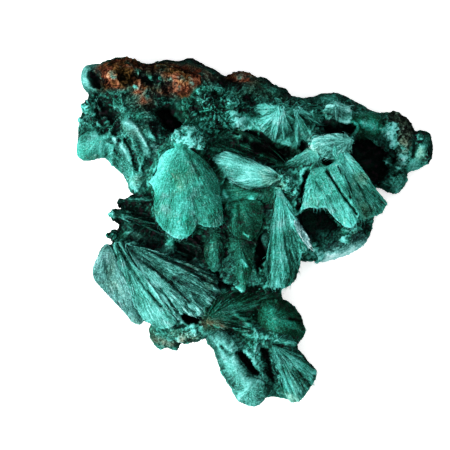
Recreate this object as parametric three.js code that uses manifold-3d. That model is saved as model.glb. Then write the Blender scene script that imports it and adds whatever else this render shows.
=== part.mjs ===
// A hand specimen of fibrous malachite, in millimetres, +Z up. It lies on the flat of its broken back.
// The crystals grew as fans, sheaves and blades on a lumpy body of the same mineral, all one solid.
// Every form is a lobe: fibres run out from a root to a closed outline around it, and an underside
// closes it below. The origin is a point of the flat back, and +Y points to the crusted top end.
import * as THREE from "three";
import Module from "manifold-3d";

// Driving dimensions.
const restLevel = 0; // height of the broken back, which is cut flat
const buriedDepth = -4; // how far the body masses reach below that cut before they are trimmed
const fanEdge = 1.6; // thickness of a fan where its fibres end
const massEdge = 5; // height of the steep side of a body mass
const massFooting = 0.8; // share of a body mass's plan that its flat back keeps
const knobFacets = 6; // sides of a small knob
const knobDepth = 5; // how deep a knob is rooted, in radii
const knobBulge = 3; // how round a knob is across
const knobUnevenness = 0.18; // how far a knob's facets stand in or out, as a share of its radius
const knobRings = [0.6, 1]; // shares of a knob's radius at which it has a ring of points
const swellHeight = 0.7; // height of the low swells on the body
const swellSpacing = 5.5; // distance between them
// The two waves that make the swells: how each runs along x and y, how far it sways and how often.
const swellWaves = [[0.8, 0.5, 1.3, 0.31], [-0.45, 0.9, 1.7, 0.27]];
const lineRing = 0.18; // share of the way out at which a lobe with a line root has its first ring
const groundWidth = 200; // width of the block that trims the body below its flat back
const groundDepth = 40; // height of that block
const specimenColour = 0x1f8f74;

// The body: broad lumpy masses that carry everything else. Each point is [x, y, height].
const bodyMasses = {
  base: {
    root: [[-6, 14, 8]],
    outline: [
      [-36, 36, 5], [-22, 38, 5], [-6, 36, 5], [12, 33, 5], [27, 32, 5], [40, 22, 5], [34, 13, 5],
      [22, 2, 5], [11, -12, 5], [9, -24, 5], [-4, -26, 5], [-16, -21, 5], [-33, -10, 5],
      [-29, 4, 5], [-30, 14, 5], [-40, 22, 5],
    ],
  },
  caveSide: {
    root: [[-22, 31, 24]],
    outline: [
      [-27, 34, 16], [-21, 34.5, 17], [-16.5, 32.5, 16], [-17.5, 29.5, 14], [-22, 28.5, 14],
      [-26.5, 29, 15],
    ],
  },
  west: {
    root: [[-31, 29, 27]],
    outline: [
      [-40, 34.5, 14], [-38.75, 40, 14], [-35.75, 42.25, 14], [-32.5, 43, 14], [-29.25, 42.5, 14],
      [-26, 41.25, 15], [-22.5, 42, 15], [-18.75, 41, 16], [-16, 37, 17], [-18.5, 33.5, 18],
      [-22.5, 32.5, 20], [-23, 28.75, 18], [-22, 23.75, 18], [-20.5, 20.5, 18], [-22.5, 17, 16],
      [-24.5, 13.5, 14], [-26.5, 10.5, 12], [-28.25, 9.25, 11], [-30, 10, 11], [-31, 13, 12],
      [-33.5, 16, 12], [-36.5, 18.5, 13], [-40, 17.75, 12], [-42.75, 19, 12], [-43, 23, 13],
      [-42.25, 28, 13], [-40.5, 32.5, 14],
    ],
  },
  north: {
    root: [[-6, 31, 24]],
    outline: [
      [-21.5, 40.5, 13], [-18, 41.75, 12], [-14.25, 42.25, 12], [-11.5, 41, 13], [-8.25, 39.25, 13],
      [-5.5, 38.25, 12], [-2.25, 39, 13], [1.25, 38, 14], [4, 37.5, 14], [6.25, 36, 14],
      [9.25, 34.75, 14], [11.5, 31.25, 16], [11.5, 26.25, 15], [8.75, 22.5, 14], [2.5, 22, 14],
      [-3.75, 23, 16], [-10, 22.5, 18], [-13.5, 24.5, 18], [-15.5, 28, 17], [-16.5, 31.5, 18],
      [-19.5, 33, 19], [-21.75, 36.25, 18],
    ],
  },
  east: {
    root: [[20, 29, 20.5]],
    outline: [
      [8.75, 33, 14], [12.5, 33, 13], [15.5, 32.75, 12], [18, 33.75, 12], [21.75, 33.75, 12],
      [25, 32.75, 12], [28.5, 30.75, 12], [32, 29.25, 12], [35.25, 29.25, 11], [38.25, 28.25, 10],
      [40.25, 26.5, 10], [41.25, 24.5, 10], [41, 20, 10], [38.5, 16.25, 9], [37, 20, 10],
      [35, 23.25, 12], [31.25, 23.5, 13], [27, 24.5, 13], [23.75, 21.5, 12], [17.5, 20, 14],
      [12.5, 20, 14], [9.5, 25, 14],
    ],
  },
  westSaddle: {
    root: [[-15, 20, 15]],
    outline: [
      [-24.5, 30, 9], [-16, 32, 9], [-7, 28, 13], [-4, 18, 15], [-13, 9, 15], [-23, 10, 13],
      [-26, 19, 12],
    ],
  },
  bladeBack: {
    root: [[-25, 1.5, 12]],
    outline: [
      [-31.5, 7, 9], [-27, 9, 10], [-22, 9.5, 11], [-15, 4, 12], [-12, -4, 12], [-14, -8.5, 11],
      [-22, -7.5, 10], [-30, -4.5, 9], [-33, -2, 8], [-32.5, 2.5, 8],
    ],
  },
  eastSaddle: {
    root: [[12, 17, 17]],
    outline: [
      [2, 24, 13], [14, 27, 14], [24, 22, 12], [25, 13, 9], [16, 7, 11], [5, 8, 14], [-2, 16, 15],
    ],
  },
  caveFloor: {
    root: [[29, 17, 6]],
    outline: [
      [23.75, 25, 5], [36.25, 23.75, 6], [38, 18.75, 6], [38, 12.5, 5], [35, 10.75, 4],
      [31.5, 11, 4], [27.5, 12, 5], [20, 14, 5],
    ],
  },
  middle: {
    root: [[-1, -4, 18.5]],
    outline: [
      [-18.75, 11.25, 15], [-12.5, 20, 18], [-5, 20.5, 17], [5, 18.5, 15], [12.5, 16.25, 14],
      [18.75, 12.5, 12], [21.25, 6, 10], [18.75, -1.25, 9], [13, -5.75, 9], [11, -10, 9],
      [8, -14.75, 9], [8, -17.75, 9], [6.25, -22.5, 9], [-2.5, -25, 10], [-10, -23.75, 10],
      [-13.75, -17.5, 12], [-17.5, -10, 12], [-23.5, -3.75, 11], [-27, 2.5, 10], [-24, 7.5, 12],
    ],
  },
  southWest: {
    root: [[-23, -14, 16]],
    outline: [
      [-34, -3.5, 11], [-28.75, -2, 12], [-21.25, -5, 12], [-13.75, -8, 12], [-8.75, -13.75, 11],
      [-9, -20, 11], [-9.5, -25.75, 9], [-12.5, -27.5, 8], [-16.5, -27.25, 8], [-18.75, -29, 8],
      [-21.75, -29, 8], [-24, -27.25, 8], [-25, -23, 8], [-29, -22.75, 8], [-32, -19.25, 8],
      [-37, -14, 9], [-38.5, -10.25, 9], [-37.75, -7, 10], [-36, -4.75, 10],
    ],
  },
  tongue: {
    root: [[1, -31, 18.5]],
    outline: [
      [-10.75, -26.5, 11], [-6.25, -20.5, 12], [2.5, -17.5, 12], [9.5, -18.5, 10],
      [12.5, -22.5, 9], [12.75, -27, 9], [11.5, -29.5, 9], [14, -32.75, 9], [16, -35.5, 9],
      [14.25, -39.75, 8], [11.5, -42.5, 8], [8.5, -42.25, 8], [4.5, -41.75, 9], [1.75, -43.5, 9],
      [-1.25, -43, 9], [-3.5, -41, 9], [-5.5, -38.25, 9], [-7.25, -35.25, 9], [-8.25, -31.5, 9],
    ],
  },
  eastShelf: {
    root: [[22, 3, 12]],
    outline: [
      [10, 3.75, 10], [12.5, 9, 11], [20, 13, 12], [28, 10.5, 12], [30.5, 5, 11],
      [30.25, -0.5, 9], [28, -3.75, 8], [24.75, -5.75, 8], [21.5, -6.75, 8], [16.5, -7.5, 8],
      [12.25, -7.25, 8], [11.25, -2.5, 9],
    ],
  },
};

// The upper left chunk: worn lobes, blades and a pointed wedge below a crusted ridge.
const westForms = {
  pointedWedge: {
    root: [[-30.5, 27, 28]], foot: 12, edge: 3, bulge: 1.6,
    outline: [
      [-34.5, 25.5, 24], [-34.25, 22.5, 23], [-32.75, 18.75, 21], [-31.5, 15.5, 19],
      [-30.75, 12.5, 17], [-29.75, 9.75, 16], [-28.25, 8.75, 16], [-27, 10, 17],
      [-25.5, 12, 18], [-24.5, 15.5, 20], [-22.5, 18, 22], [-19.75, 20.5, 24],
      [-20, 23.5, 24], [-22.5, 26.5, 25], [-25, 29.5, 26], [-29, 30.5, 27], [-33, 29, 25],
    ],
  },
  lowerLobe: {
    root: [[-37.5, 22.75, 22.5]], foot: 2, edge: 6, bulge: 1.8,
    outline: [
      [-38.5, 24.5, 22], [-42, 23.5, 19.5], [-43.2, 21, 18], [-43.1, 18.75, 17],
      [-41.5, 17.35, 16.5], [-39.5, 17.6, 16.5], [-37.75, 18.1, 16.5], [-36.25, 18.5, 17],
      [-35, 20.5, 18], [-34.5, 23, 21],
    ],
  },
  brightBlade: {
    root: [[-35, 22, 22]], foot: 8, edge: 2, bulge: 1.2,
    outline: [
      [-36.25, 21.75, 20], [-36.5, 19, 15], [-35.5, 17.5, 13], [-34.25, 16, 12],
      [-32.75, 15, 12], [-31.5, 14.25, 13], [-32.25, 17.5, 17], [-33.5, 20.75, 21],
    ],
  },
  smoothBulge: {
    root: [[-29.75, 26, 30]], foot: 20, edge: 1.5, bulge: 2,
    outline: [
      [-33, 28, 27], [-30.5, 28.75, 27], [-28, 27.5, 28], [-26.75, 25, 27],
      [-28, 23, 27], [-31, 24, 27],
    ],
  },
  westRidge: {
    root: [[-33, 22.25, 25.5], [-30.5, 19.5, 24.5]], foot: 15, edge: 1.5, bulge: 1.4,
    outline: [
      [-34.25, 23, 24], [-32.75, 23.25, 24], [-31, 21.5, 23.5], [-29.75, 19.5, 23],
      [-29, 16, 21.5], [-30.5, 16.5, 21], [-32, 19, 22], [-33.5, 21, 23],
    ],
  },
  middleRidge: {
    root: [[-28, 25, 28.5], [-25.5, 20, 26.5]], foot: 16, edge: 1.5, bulge: 1.4,
    outline: [
      [-29, 26, 27], [-27.5, 26, 27], [-25.75, 23, 26.5], [-24.25, 20, 25],
      [-24.5, 17.75, 24], [-26, 18.5, 24], [-27.25, 21.5, 25.5], [-28.75, 24, 26.5],
    ],
  },
  northWestKnob: {
    root: [[-40, 38, 21]], foot: 6, edge: 4, bulge: 2,
    outline: [
      [-42, 38.5, 16], [-41.5, 40.5, 16], [-39, 41.25, 16], [-37, 41.25, 17], [-36.5, 38.75, 19],
      [-37, 35.5, 18], [-38.75, 33.75, 17], [-40.75, 34.75, 16], [-41.75, 36.5, 16],
    ],
  },
  crustRidge: {
    root: [[-33.5, 38, 26], [-17, 36.5, 25]], foot: 12, edge: 3, bulge: 2,
    outline: [
      [-37, 39, 21], [-35.5, 41.5, 18], [-32.5, 42.5, 17], [-29.25, 42.25, 17], [-26, 40.75, 18],
      [-22, 41, 18], [-17, 40, 19], [-13, 38.5, 19], [-12, 35.5, 21], [-15, 33.5, 22],
      [-19, 33.75, 23], [-23.5, 33, 23], [-27, 30.5, 24], [-31, 31, 24], [-33, 34, 23],
      [-36.5, 35.5, 22],
    ],
  },
  topSwell: {
    root: [[-15.5, 41, 17]], foot: 6, edge: 3, bulge: 2,
    outline: [
      [-23, 41.75, 13], [-21.25, 42.75, 12], [-18, 42.25, 11], [-14.5, 43, 11],
      [-11.75, 41.5, 12], [-9, 40.25, 12], [-7, 38.75, 13], [-11.25, 39, 17],
      [-16.25, 39.75, 18], [-20.5, 40.25, 17],
    ],
  },
};

// The north side: rough mass, dark fibre fan above the sheaf, swells of the rim.
const northForms = {
  roughMass: {
    root: [[-8.75, 29.5, 27]], foot: 14, edge: 2.5, bulge: 1.6,
    outline: [
      [-16.25, 33.5, 22], [-12.5, 35.5, 22], [-7.5, 35, 22], [-3.5, 33, 23], [-0.5, 29.5, 23],
      [0.25, 25.5, 22], [-3.5, 25, 24], [-9, 24, 25], [-13, 24, 25], [-15.5, 27, 22],
      [-16.75, 30.5, 22],
    ],
  },
  darkFibreFan: {
    root: [[9.5, 16, 26.5]], foot: 8, edge: 2, bulge: 1, arch: 0.6, pleat: 0.5,
    outline: [
      [8.5, 18, 25], [5.5, 20.5, 24], [2, 23, 23], [-1.75, 24.5, 23], [-6.25, 24.75, 23],
      [-10.25, 23.25, 24], [-12.25, 21, 25], [-11, 18.5, 25], [-8, 18, 25], [-3.75, 17.5, 25],
      [1.25, 16, 26], [5, 14.5, 26], [8.5, 14.5, 26],
    ],
  },
  rimKnob: {
    root: [[-3, 37.5, 18]], foot: 8, edge: 3, bulge: 2,
    outline: [
      [-5.75, 38.5, 13], [-2.25, 39.5, 13], [0.5, 38.5, 14], [1, 36, 17], [-2, 35, 18],
      [-5, 36, 17],
    ],
  },
  northEastSwell: {
    root: [[5.5, 35, 19]], foot: 8, edge: 3, bulge: 2,
    outline: [
      [1.25, 36.5, 17], [2, 38.25, 14], [4.25, 38, 12], [6.25, 36.25, 11], [9, 35.25, 11],
      [9.5, 33.25, 12], [7, 32.5, 17], [3.75, 34, 19],
    ],
  },
  eastSwell: {
    root: [[20, 32.5, 18]], foot: 6, edge: 3, bulge: 2,
    outline: [
      [13.25, 33, 13], [15.75, 33.25, 12], [18.75, 34.25, 11], [22.75, 34, 11], [25.5, 32.5, 12],
      [28.25, 31, 13], [25, 30.5, 18], [18.75, 30.75, 19], [14.5, 31, 17],
    ],
  },
};

// Two sunburst tufts of deep-cut fibre blades on the upper right.
const tuftForms = {
  sunburst: {
    root: [[8.25, 29.25, 28]], foot: 10, edge: 1.8, bulge: 1.2, pleat: 1.1,
    outline: [
      [4.5, 30.75, 24], [6, 32.25, 23], [9, 32, 23], [12.5, 31, 24], [16, 31, 23],
      [18.75, 30, 22], [18.25, 25.5, 21], [17, 23, 20], [14.75, 22.25, 20], [13.25, 21, 20],
      [12, 18.75, 20], [10.25, 20.25, 20], [8.25, 20.5, 20], [6.5, 21, 20], [4.75, 23, 20],
      [2.75, 23, 20], [1.75, 24.75, 20], [3, 27.75, 22],
    ],
  },
  paleTuft: {
    root: [[21.5, 31.25, 23]], foot: 12, edge: 1.8, bulge: 1.2, pleat: 0.6,
    outline: [
      [18, 31, 20], [18.5, 29, 20], [19.5, 27, 19], [21, 26.25, 18], [22, 28, 19.5],
      [23.5, 26.5, 18], [25, 26.75, 18], [25.5, 29.5, 20], [24, 31.25, 21],
    ],
  },
};

// Knobs and lobes of the far right end, round a deep cave.
const eastForms = {
  greenLobe: {
    root: [[29.5, 26, 22]], foot: 8, edge: 2.5, bulge: 2,
    outline: [
      [25.5, 28, 19], [28, 29, 19], [31.25, 28.5, 18], [33.25, 27, 17], [33.5, 25, 16],
      [32, 23.25, 16], [29, 22.75, 16], [26.25, 24, 17], [24.75, 26, 18],
    ],
  },
  brownRidge: {
    root: [[38, 24, 19]], foot: 6, edge: 3, bulge: 2,
    outline: [
      [35.25, 29.5, 14], [38, 28.75, 13], [39.75, 27.5, 12], [40.75, 25.5, 12], [40.5, 21.25, 13],
      [39.25, 16.25, 12], [37.25, 17.5, 13], [36.25, 21.25, 14], [34.5, 25, 16],
    ],
  },
  endKnob: {
    root: [[42.5, 20.5, 17]], foot: 4, edge: 3, bulge: 2,
    outline: [
      [41.75, 24.5, 12], [43.5, 24.75, 11], [45, 24.25, 11], [45.75, 22, 10], [45.75, 19.5, 10],
      [45, 17.5, 10], [43.5, 16, 10], [41.25, 15, 10], [39.25, 14.75, 11], [38, 17.5, 13],
      [38.25, 21.25, 14],
    ],
  },
  lowerKnob: {
    root: [[36.5, 13.5, 14.5]], foot: 2, edge: 3, bulge: 2,
    outline: [
      [37.5, 16.25, 13], [39.25, 14.5, 11], [39.25, 12, 9], [38, 10.25, 8], [36.5, 9.25, 8],
      [34.75, 10, 8], [33.25, 10.75, 8], [32.25, 11.5, 8], [34, 13.5, 10], [35.5, 15.75, 12],
    ],
  },
};

// The central fan and what grew beside it.
const centreForms = {
  centralFan: {
    root: [[-16.5, 21.25, 34.5]], foot: 6, edge: 1.8, bulge: 1, arch: 0.4, pleat: 0.2,
    outline: [
      [-18.25, 21.5, 33], [-18.75, 20, 33], [-20.25, 19.25, 32], [-21.75, 18.5, 31],
      [-22.5, 16.75, 30.5], [-23, 14.75, 30], [-23.75, 13, 29.5], [-25, 12, 29],
      [-24, 10.75, 28.5], [-23.5, 9, 28], [-23.75, 6.5, 27.5], [-23.5, 3.75, 27],
      [-22.5, 1.5, 26.5], [-21, -0.25, 26], [-19.25, -1.5, 26], [-17.5, -2, 26],
      [-15.75, -1.5, 26], [-14.25, -0.5, 26], [-13, 1.5, 26.5], [-11.25, 1, 26],
      [-9.25, 0.75, 25.5], [-7.25, 1.25, 25], [-6.75, 2.75, 25], [-7, 5.75, 25.5],
      [-7.5, 8.75, 26], [-7.75, 11.25, 26.5], [-8.75, 14, 27.5], [-10.75, 16.75, 29],
      [-13.25, 19.25, 31], [-15.25, 21, 33],
    ],
  },
  sheaf: {
    root: [[7.5, 13.25, 28]], foot: 8, edge: 2, bulge: 1.2, arch: 2.2, pleat: 0.25,
    outline: [
      [7.25, 14, 27.5], [5, 15, 27.5], [3.25, 16, 27.5], [1.25, 17, 27.5], [-1.25, 18, 27.5],
      [-3.75, 18.75, 27], [-6, 19.5, 27], [-8, 18.75, 27], [-9.5, 17.75, 26.5],
      [-9, 16.25, 26.5], [-7.75, 14.75, 26], [-6, 13, 26], [-3.5, 11.5, 26],
      [-0.5, 10.5, 26], [3, 10.5, 26.5], [6, 11.25, 27], [7.75, 12.5, 27.5],
    ],
  },
  sheafApron: {
    root: [[4.5, 11, 24.5]], foot: 6, edge: 2, bulge: 1.3,
    outline: [
      [-7.75, 14.5, 25], [-8, 11, 23.5], [-7.5, 7.5, 22], [-3.75, 6, 21], [1.25, 6.5, 21],
      [5.5, 7.5, 23], [6.75, 11, 25], [0, 13, 25.5],
    ],
  },
  knot: {
    root: [[9, 11.5, 30.5]], foot: 8, edge: 2, bulge: 1.6, pleat: 0.5,
    outline: [
      [6.75, 13.5, 28], [8.5, 14.25, 28], [10.75, 13, 28], [12, 10.5, 26], [12.75, 8, 24],
      [11, 6.75, 25], [9, 8, 27], [7, 10.5, 28.5],
    ],
  },
  verticalFan: {
    root: [[7, 10.5, 29.5]], foot: 6, edge: 1.8, bulge: 1.2, arch: 0.3, pleat: 0.3,
    outline: [
      [6, 11, 28.5], [6, 8.25, 27.5], [5.75, 5, 26.5], [5.25, 1.25, 25.5], [4.5, -3.25, 24],
      [4, -8, 22.5], [4, -11.25, 21], [5, -13.25, 20.5], [7.5, -14.25, 20.5],
      [9.75, -14, 20], [11.25, -12.5, 19], [12.25, -9.5, 19.5], [12.75, -6.5, 20.5],
      [14, -4.75, 21.5], [13.25, -2.5, 22.5], [12.25, 0.5, 24], [11, 4, 25.5],
      [9.25, 7, 27], [7.75, 10, 28.5],
    ],
  },
  lilacFlap: {
    root: [[11, 1.75, 26]], foot: 12, edge: 1, bulge: 1,
    outline: [
      [10.4, 2.5, 25], [11.6, 2.3, 25], [13.4, 0, 24.5], [15, -3, 23], [14.4, -4.1, 22.5],
      [12.8, -2, 23.5], [11.2, 0.5, 24.5],
    ],
  },
};

// The right fans hang from one pale cap: a wing, a plate and a long blade.
const rightFans = {
  paleCap: {
    root: [[20.5, 21.25, 33.5]], foot: 8, edge: 2.5, bulge: 1.8,
    outline: [
      [15, 21, 30], [15.75, 22.5, 30], [18, 23.25, 31], [20.75, 23.75, 31], [23.5, 23.5, 31],
      [25, 22.25, 31], [24.75, 20, 31], [22, 18.75, 32], [18.5, 18.5, 32], [16, 19.25, 31],
    ],
  },
  leftWing: {
    root: [[16.5, 19.5, 31.5]], foot: 8, edge: 1.6, bulge: 1, pleat: 0.5,
    outline: [
      [15.25, 20.5, 30], [12.5, 19, 28], [9.75, 17.25, 27], [7.75, 15.5, 26], [9.75, 15, 26],
      [11.75, 14.25, 26], [13.25, 12.75, 25], [14.5, 14.25, 27], [16, 16.25, 29],
      [17, 18.25, 31],
    ],
  },
  plate: {
    root: [[15.5, 14.2, 30.8], [22, 17.2, 32]], foot: 8, edge: 1.8, bulge: 1, pleat: 0.3,
    outline: [
      [14, 12.5, 29.8], [15.3, 14.6, 30.5], [17.6, 15.6, 31], [19.6, 15.5, 31.2],
      [20.8, 17, 31.8], [21.4, 19, 32.4], [23, 18.4, 32], [23.4, 14, 30.8], [24.75, 10, 29.5],
      [26, 6.75, 28.5], [26.75, 4.25, 28], [25.5, 1.25, 27], [23.5, 1, 27], [21.75, 2.25, 27],
      [20, 4, 27.5], [18.5, 5.5, 27.5], [16.25, 5.5, 27.5], [14.5, 5.75, 27.5],
      [12.75, 5.25, 27], [13, 7.5, 28], [13.5, 10, 29],
    ],
  },
  longBlade: {
    root: [[20.5, 20.5, 32.8]], foot: 8, edge: 2, bulge: 1, pleat: 0.2,
    outline: [
      [21.25, 21.3, 32.5], [24, 19, 31], [26.5, 16.4, 29.8], [29, 13.2, 28], [31, 10, 26],
      [33.75, 7, 23.5], [33.25, 5.5, 23], [31.75, 4, 23.5], [29.5, 3.25, 25], [27.25, 2.75, 26.5],
      [26.3, 6, 28.3], [24.8, 9.5, 29.3], [23.4, 12.8, 30.3], [21.8, 16, 31.5], [20.2, 18.5, 32.3],
    ],
  },
  mintRim: {
    root: [[23.75, -3.5, 13]], foot: 2, edge: 3, bulge: 1.8,
    outline: [
      [18, -5.5, 10], [21.25, -3.5, 12], [25, -1.5, 13], [28, -1, 12], [29.5, -2, 9],
      [28, -4, 8], [25, -6, 7], [21.5, -7.25, 7], [18.25, -8, 7], [17, -7, 8],
    ],
  },
};

// Rough plates hanging in the shade of the middle.
const middlePlates = {
  roundPlate: {
    root: [[-1.75, 6.75, 23]], foot: 6, edge: 2, bulge: 1.4, pleat: 0.3,
    outline: [
      [-6, 6.5, 21], [-6.5, 3.5, 20], [-5.25, 0.25, 20], [-3, -2, 20], [0, -2.5, 20],
      [2.25, -0.5, 20], [3.25, 3, 21], [3, 6.5, 22], [0, 7.5, 23],
    ],
  },
  leftSlab: {
    root: [[-9, -0.5, 21.5]], foot: 10, edge: 2, bulge: 1.4, pleat: 0.3,
    outline: [
      [-11, 0.5, 20], [-7, 0.5, 20], [-6.25, -3.75, 19], [-7, -8, 18], [-9, -10.5, 17],
      [-11, -8, 17], [-11.25, -3.75, 18],
    ],
  },
  centreSlab: {
    root: [[-2.5, -3.25, 20.5]], foot: 8, edge: 2, bulge: 1.4, pleat: 0.3,
    outline: [
      [-6.5, -2.5, 18], [-2.5, -2, 20], [1, -3, 19], [0.75, -8, 18], [-0.5, -12.5, 17],
      [-1.75, -15.75, 16], [-4, -14, 15], [-5.75, -10, 15], [-7, -6.25, 16],
    ],
  },
};

// Near-black fibre blades on the left, stacked one over another.
const darkBlades = {
  upper: {
    root: [[-32.25, 7, 17]], foot: 6, edge: 1.4, bulge: 1, pleat: 0.4,
    outline: [
      [-32.75, 7.75, 16], [-30.75, 7.5, 16], [-29.75, 8.75, 16], [-27, 9.75, 16],
      [-24.25, 10.75, 17], [-20, 8.75, 18], [-16.25, 3.75, 18], [-22.5, 4, 16],
      [-28.75, 5, 15], [-32.5, 5.5, 15],
    ],
  },
  middle: {
    root: [[-34, 4, 18]], foot: 6, edge: 1.4, bulge: 1, pleat: 0.5,
    outline: [
      [-34.75, 4.75, 17], [-32.5, 5.25, 17], [-26.25, 4.25, 17], [-18.75, 1.25, 18],
      [-13.75, -2.5, 18], [-12.5, -5.5, 17], [-18.75, -4, 15], [-25, -1.5, 15],
      [-30.5, 1, 15], [-34, 2.25, 15],
    ],
  },
  lower: {
    root: [[-34, -1, 16]], foot: 5, edge: 1.4, bulge: 1, pleat: 0.4,
    outline: [
      [-34.75, -0.25, 15], [-32.5, 0, 16], [-28.75, -0.5, 16], [-22.5, -3.25, 16],
      [-15, -6.25, 16], [-10.5, -8, 15], [-15, -8.5, 13], [-22.5, -7, 13],
      [-28.75, -4.25, 13], [-33.25, -2.5, 13],
    ],
  },
};

// The three rolls of the broad fan on the lower left and the lumps below them.
const southWestForms = {
  leftRoll: {
    root: [[-35.3, -3.6, 19.8]], foot: 4, edge: 2.4, bulge: 1.5, arch: 1.2,
    outline: [
      [-36.7, -4.2, 18], [-38, -6.5, 16.5], [-39.2, -9.5, 14.5], [-38.9, -12.3, 13.5],
      [-36.8, -14.8, 13], [-34.3, -17.6, 12.5], [-31.8, -20.3, 12.5], [-29.8, -22.6, 12.5],
      [-28, -23.6, 12.5], [-26.8, -22.4, 13.5], [-28.2, -19, 15], [-30, -15, 16.5],
      [-31.5, -11, 17.5], [-32.8, -7.5, 18.5], [-33.8, -4.2, 19.3],
    ],
  },
  middleRoll: {
    root: [[-33, -3, 21]], foot: 4, edge: 2.2, bulge: 1.2, arch: 1.8,
    outline: [
      [-33.9, -4.2, 19.8], [-33.1, -8, 18.6], [-31.9, -12.5, 17.6], [-29.9, -17.3, 16.5],
      [-27, -22, 15], [-25.4, -23.2, 14.5], [-23.3, -24.3, 14.5], [-21.2, -25.3, 14.5],
      [-19.4, -24, 15.5], [-18.6, -22.3, 16.5], [-22, -17.6, 18], [-25.2, -13.3, 19],
      [-28.4, -9, 19.7], [-30.9, -5.2, 20.3], [-32, -2.8, 20.6],
    ],
  },
  rightRoll: {
    root: [[-31, -3.4, 21]], foot: 4, edge: 2.2, bulge: 1.2, arch: 1.4, pleat: 0.5,
    outline: [
      [-30.8, -5.4, 20.3], [-28.5, -9, 19.5], [-25, -13.6, 18.8], [-21.6, -18, 17.9],
      [-18.3, -22.2, 16.8], [-16.8, -20.8, 17.5], [-15, -21.3, 17.5], [-13.2, -21.6, 17.5],
      [-11.2, -19.8, 18], [-9, -17, 17.5], [-8, -13.2, 17], [-10.5, -10, 17], [-15, -8, 17],
      [-21.25, -6.25, 18], [-26.25, -4.5, 19], [-29.3, -2.8, 20.3],
    ],
  },
  paleCrust: {
    root: [[-12.5, -24.25, 16.5]], foot: 4, edge: 2, bulge: 1.8,
    outline: [
      [-18.5, -26.25, 13], [-16.75, -24, 14], [-12.5, -23.25, 16], [-9, -22, 17],
      [-7.5, -23.75, 16], [-10.5, -25.75, 15], [-13, -27.75, 11], [-16.5, -28, 10],
    ],
  },
  lowerLump: {
    root: [[-20.5, -26.75, 15]], foot: 2, edge: 3, bulge: 1.8,
    outline: [
      [-25, -24, 12], [-22.5, -24, 14], [-19.5, -24.5, 15], [-16, -25, 14], [-15, -27, 12],
      [-17.5, -28.5, 10], [-18.5, -30.25, 9], [-20.75, -29.5, 9], [-22.5, -30, 9],
      [-24.25, -28.5, 9], [-25, -26.25, 10],
    ],
  },
};

// The lower tongue: a worn flank, two deep slots, low ridges, a ribbed fan and a dark bulge.
const tongueForms = {
  throatFan: {
    root: [[-11, -22.25, 19.5]], foot: 8, edge: 2, bulge: 1, pleat: 0.4,
    outline: [
      [-11.25, -20, 18], [-8.75, -17, 17], [-3.75, -15, 16], [2, -13.75, 15], [7, -15, 13],
      [8, -17.5, 12.5], [9, -18.5, 12], [7.5, -22.5, 14], [3, -25.5, 16], [-3.75, -25, 18],
      [-9.5, -24.25, 18.5],
    ],
  },
  leftFlank: {
    root: [[-8, -28, 20.3], [-3.5, -35.5, 19.3]], foot: 2, edge: 6, bulge: 2.2,
    outline: [
      [-11, -26, 16], [-8, -24.7, 18.5], [-5.2, -26.3, 20], [-3.2, -29.3, 20], [-3.3, -31.2, 19.5],
      [-1.2, -34, 19], [1, -36.6, 18.5], [0.5, -38.5, 18], [-2.5, -39.6, 17], [-4.6, -38.9, 16],
      [-6.3, -36.8, 15.5], [-7.5, -33.8, 15.5], [-8.5, -30.5, 16],
    ],
  },
  bottomLobe: {
    root: [[0, -38.3, 19]], foot: 3, edge: 3, bulge: 1.8,
    outline: [
      [-3, -38.5, 16], [-4.5, -40, 13.5], [-3, -42.25, 12], [-1.25, -43.75, 11.5],
      [1.25, -44.25, 11.5], [3.2, -43, 12.5], [4.4, -40.75, 14.5], [3.6, -38.5, 17],
      [1.75, -36.9, 18.3], [-0.75, -36.75, 18],
    ],
  },
  betweenSlots: {
    root: [[0, -30, 20], [3.6, -37.5, 18.3]], foot: 6, edge: 2.5, bulge: 1.6,
    outline: [
      [-2, -29.6, 18.8], [0, -28.6, 19.3], [2, -28.6, 19], [2.3, -31, 18.5], [3.1, -34, 17.7],
      [4.6, -36.8, 17], [5.2, -38.8, 16], [3.4, -39.5, 16], [2.6, -37.2, 17.2], [1.4, -34.9, 17.9],
      [-0.4, -32.4, 18.5],
    ],
  },
  crossRidge: {
    root: [[1, -26.2, 21], [9, -27.4, 18.8]], foot: 6, edge: 2, bulge: 1.7,
    outline: [
      [-1.5, -25.3, 19.3], [1, -24.4, 19.6], [5, -25, 19.3], [9, -26, 17.6], [11.9, -27.2, 15.5],
      [11, -29, 15.5], [7.5, -28.9, 17.8], [3, -29, 18.6], [-0.5, -28.8, 18.8], [-2.6, -27.4, 18.6],
    ],
  },
  upperRidge: {
    root: [[-3, -21.5, 20], [1, -24.6, 20.3]], foot: 6, edge: 2, bulge: 1.7,
    outline: [
      [-4.5, -21, 18.5], [-2.5, -20.4, 18.5], [0, -22.3, 18.8], [2.3, -25, 19],
      [0.8, -26.3, 18.9], [-2, -24.3, 18.8], [-4.3, -22.6, 18.5],
    ],
  },
  ribbedFan: {
    root: [[5.5, -28.3, 20]], foot: 4, edge: 2.5, bulge: 1.2, pleat: 0.4,
    outline: [
      [5, -29.5, 18.6], [5.7, -32, 17.6], [6.2, -35, 16.4], [7, -38, 15], [8.5, -40.5, 13.5],
      [10, -43, 11.5], [12.2, -43, 11], [13.8, -41.2, 11], [15.3, -38.8, 11.5],
      [16.6, -36.8, 11.5], [16.7, -35.2, 12], [15, -33.4, 13], [13, -31, 14], [11.8, -29.6, 15],
      [11.2, -28, 16], [8.5, -27.2, 18.3], [6, -27.4, 19.6],
    ],
  },
  darkBulge: {
    root: [[5.5, -22, 19.5]], foot: 4, edge: 3, bulge: 1.8, pleat: 0.3,
    outline: [
      [3, -18.25, 16], [6.25, -17, 14], [9, -18, 12], [11.5, -19.75, 11], [13, -22.5, 11],
      [13.75, -25.5, 11], [13, -27.5, 12], [10, -27.8, 14], [6.25, -27, 16], [3, -25.5, 17],
      [2, -22.75, 17],
    ],
  },
};

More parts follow.
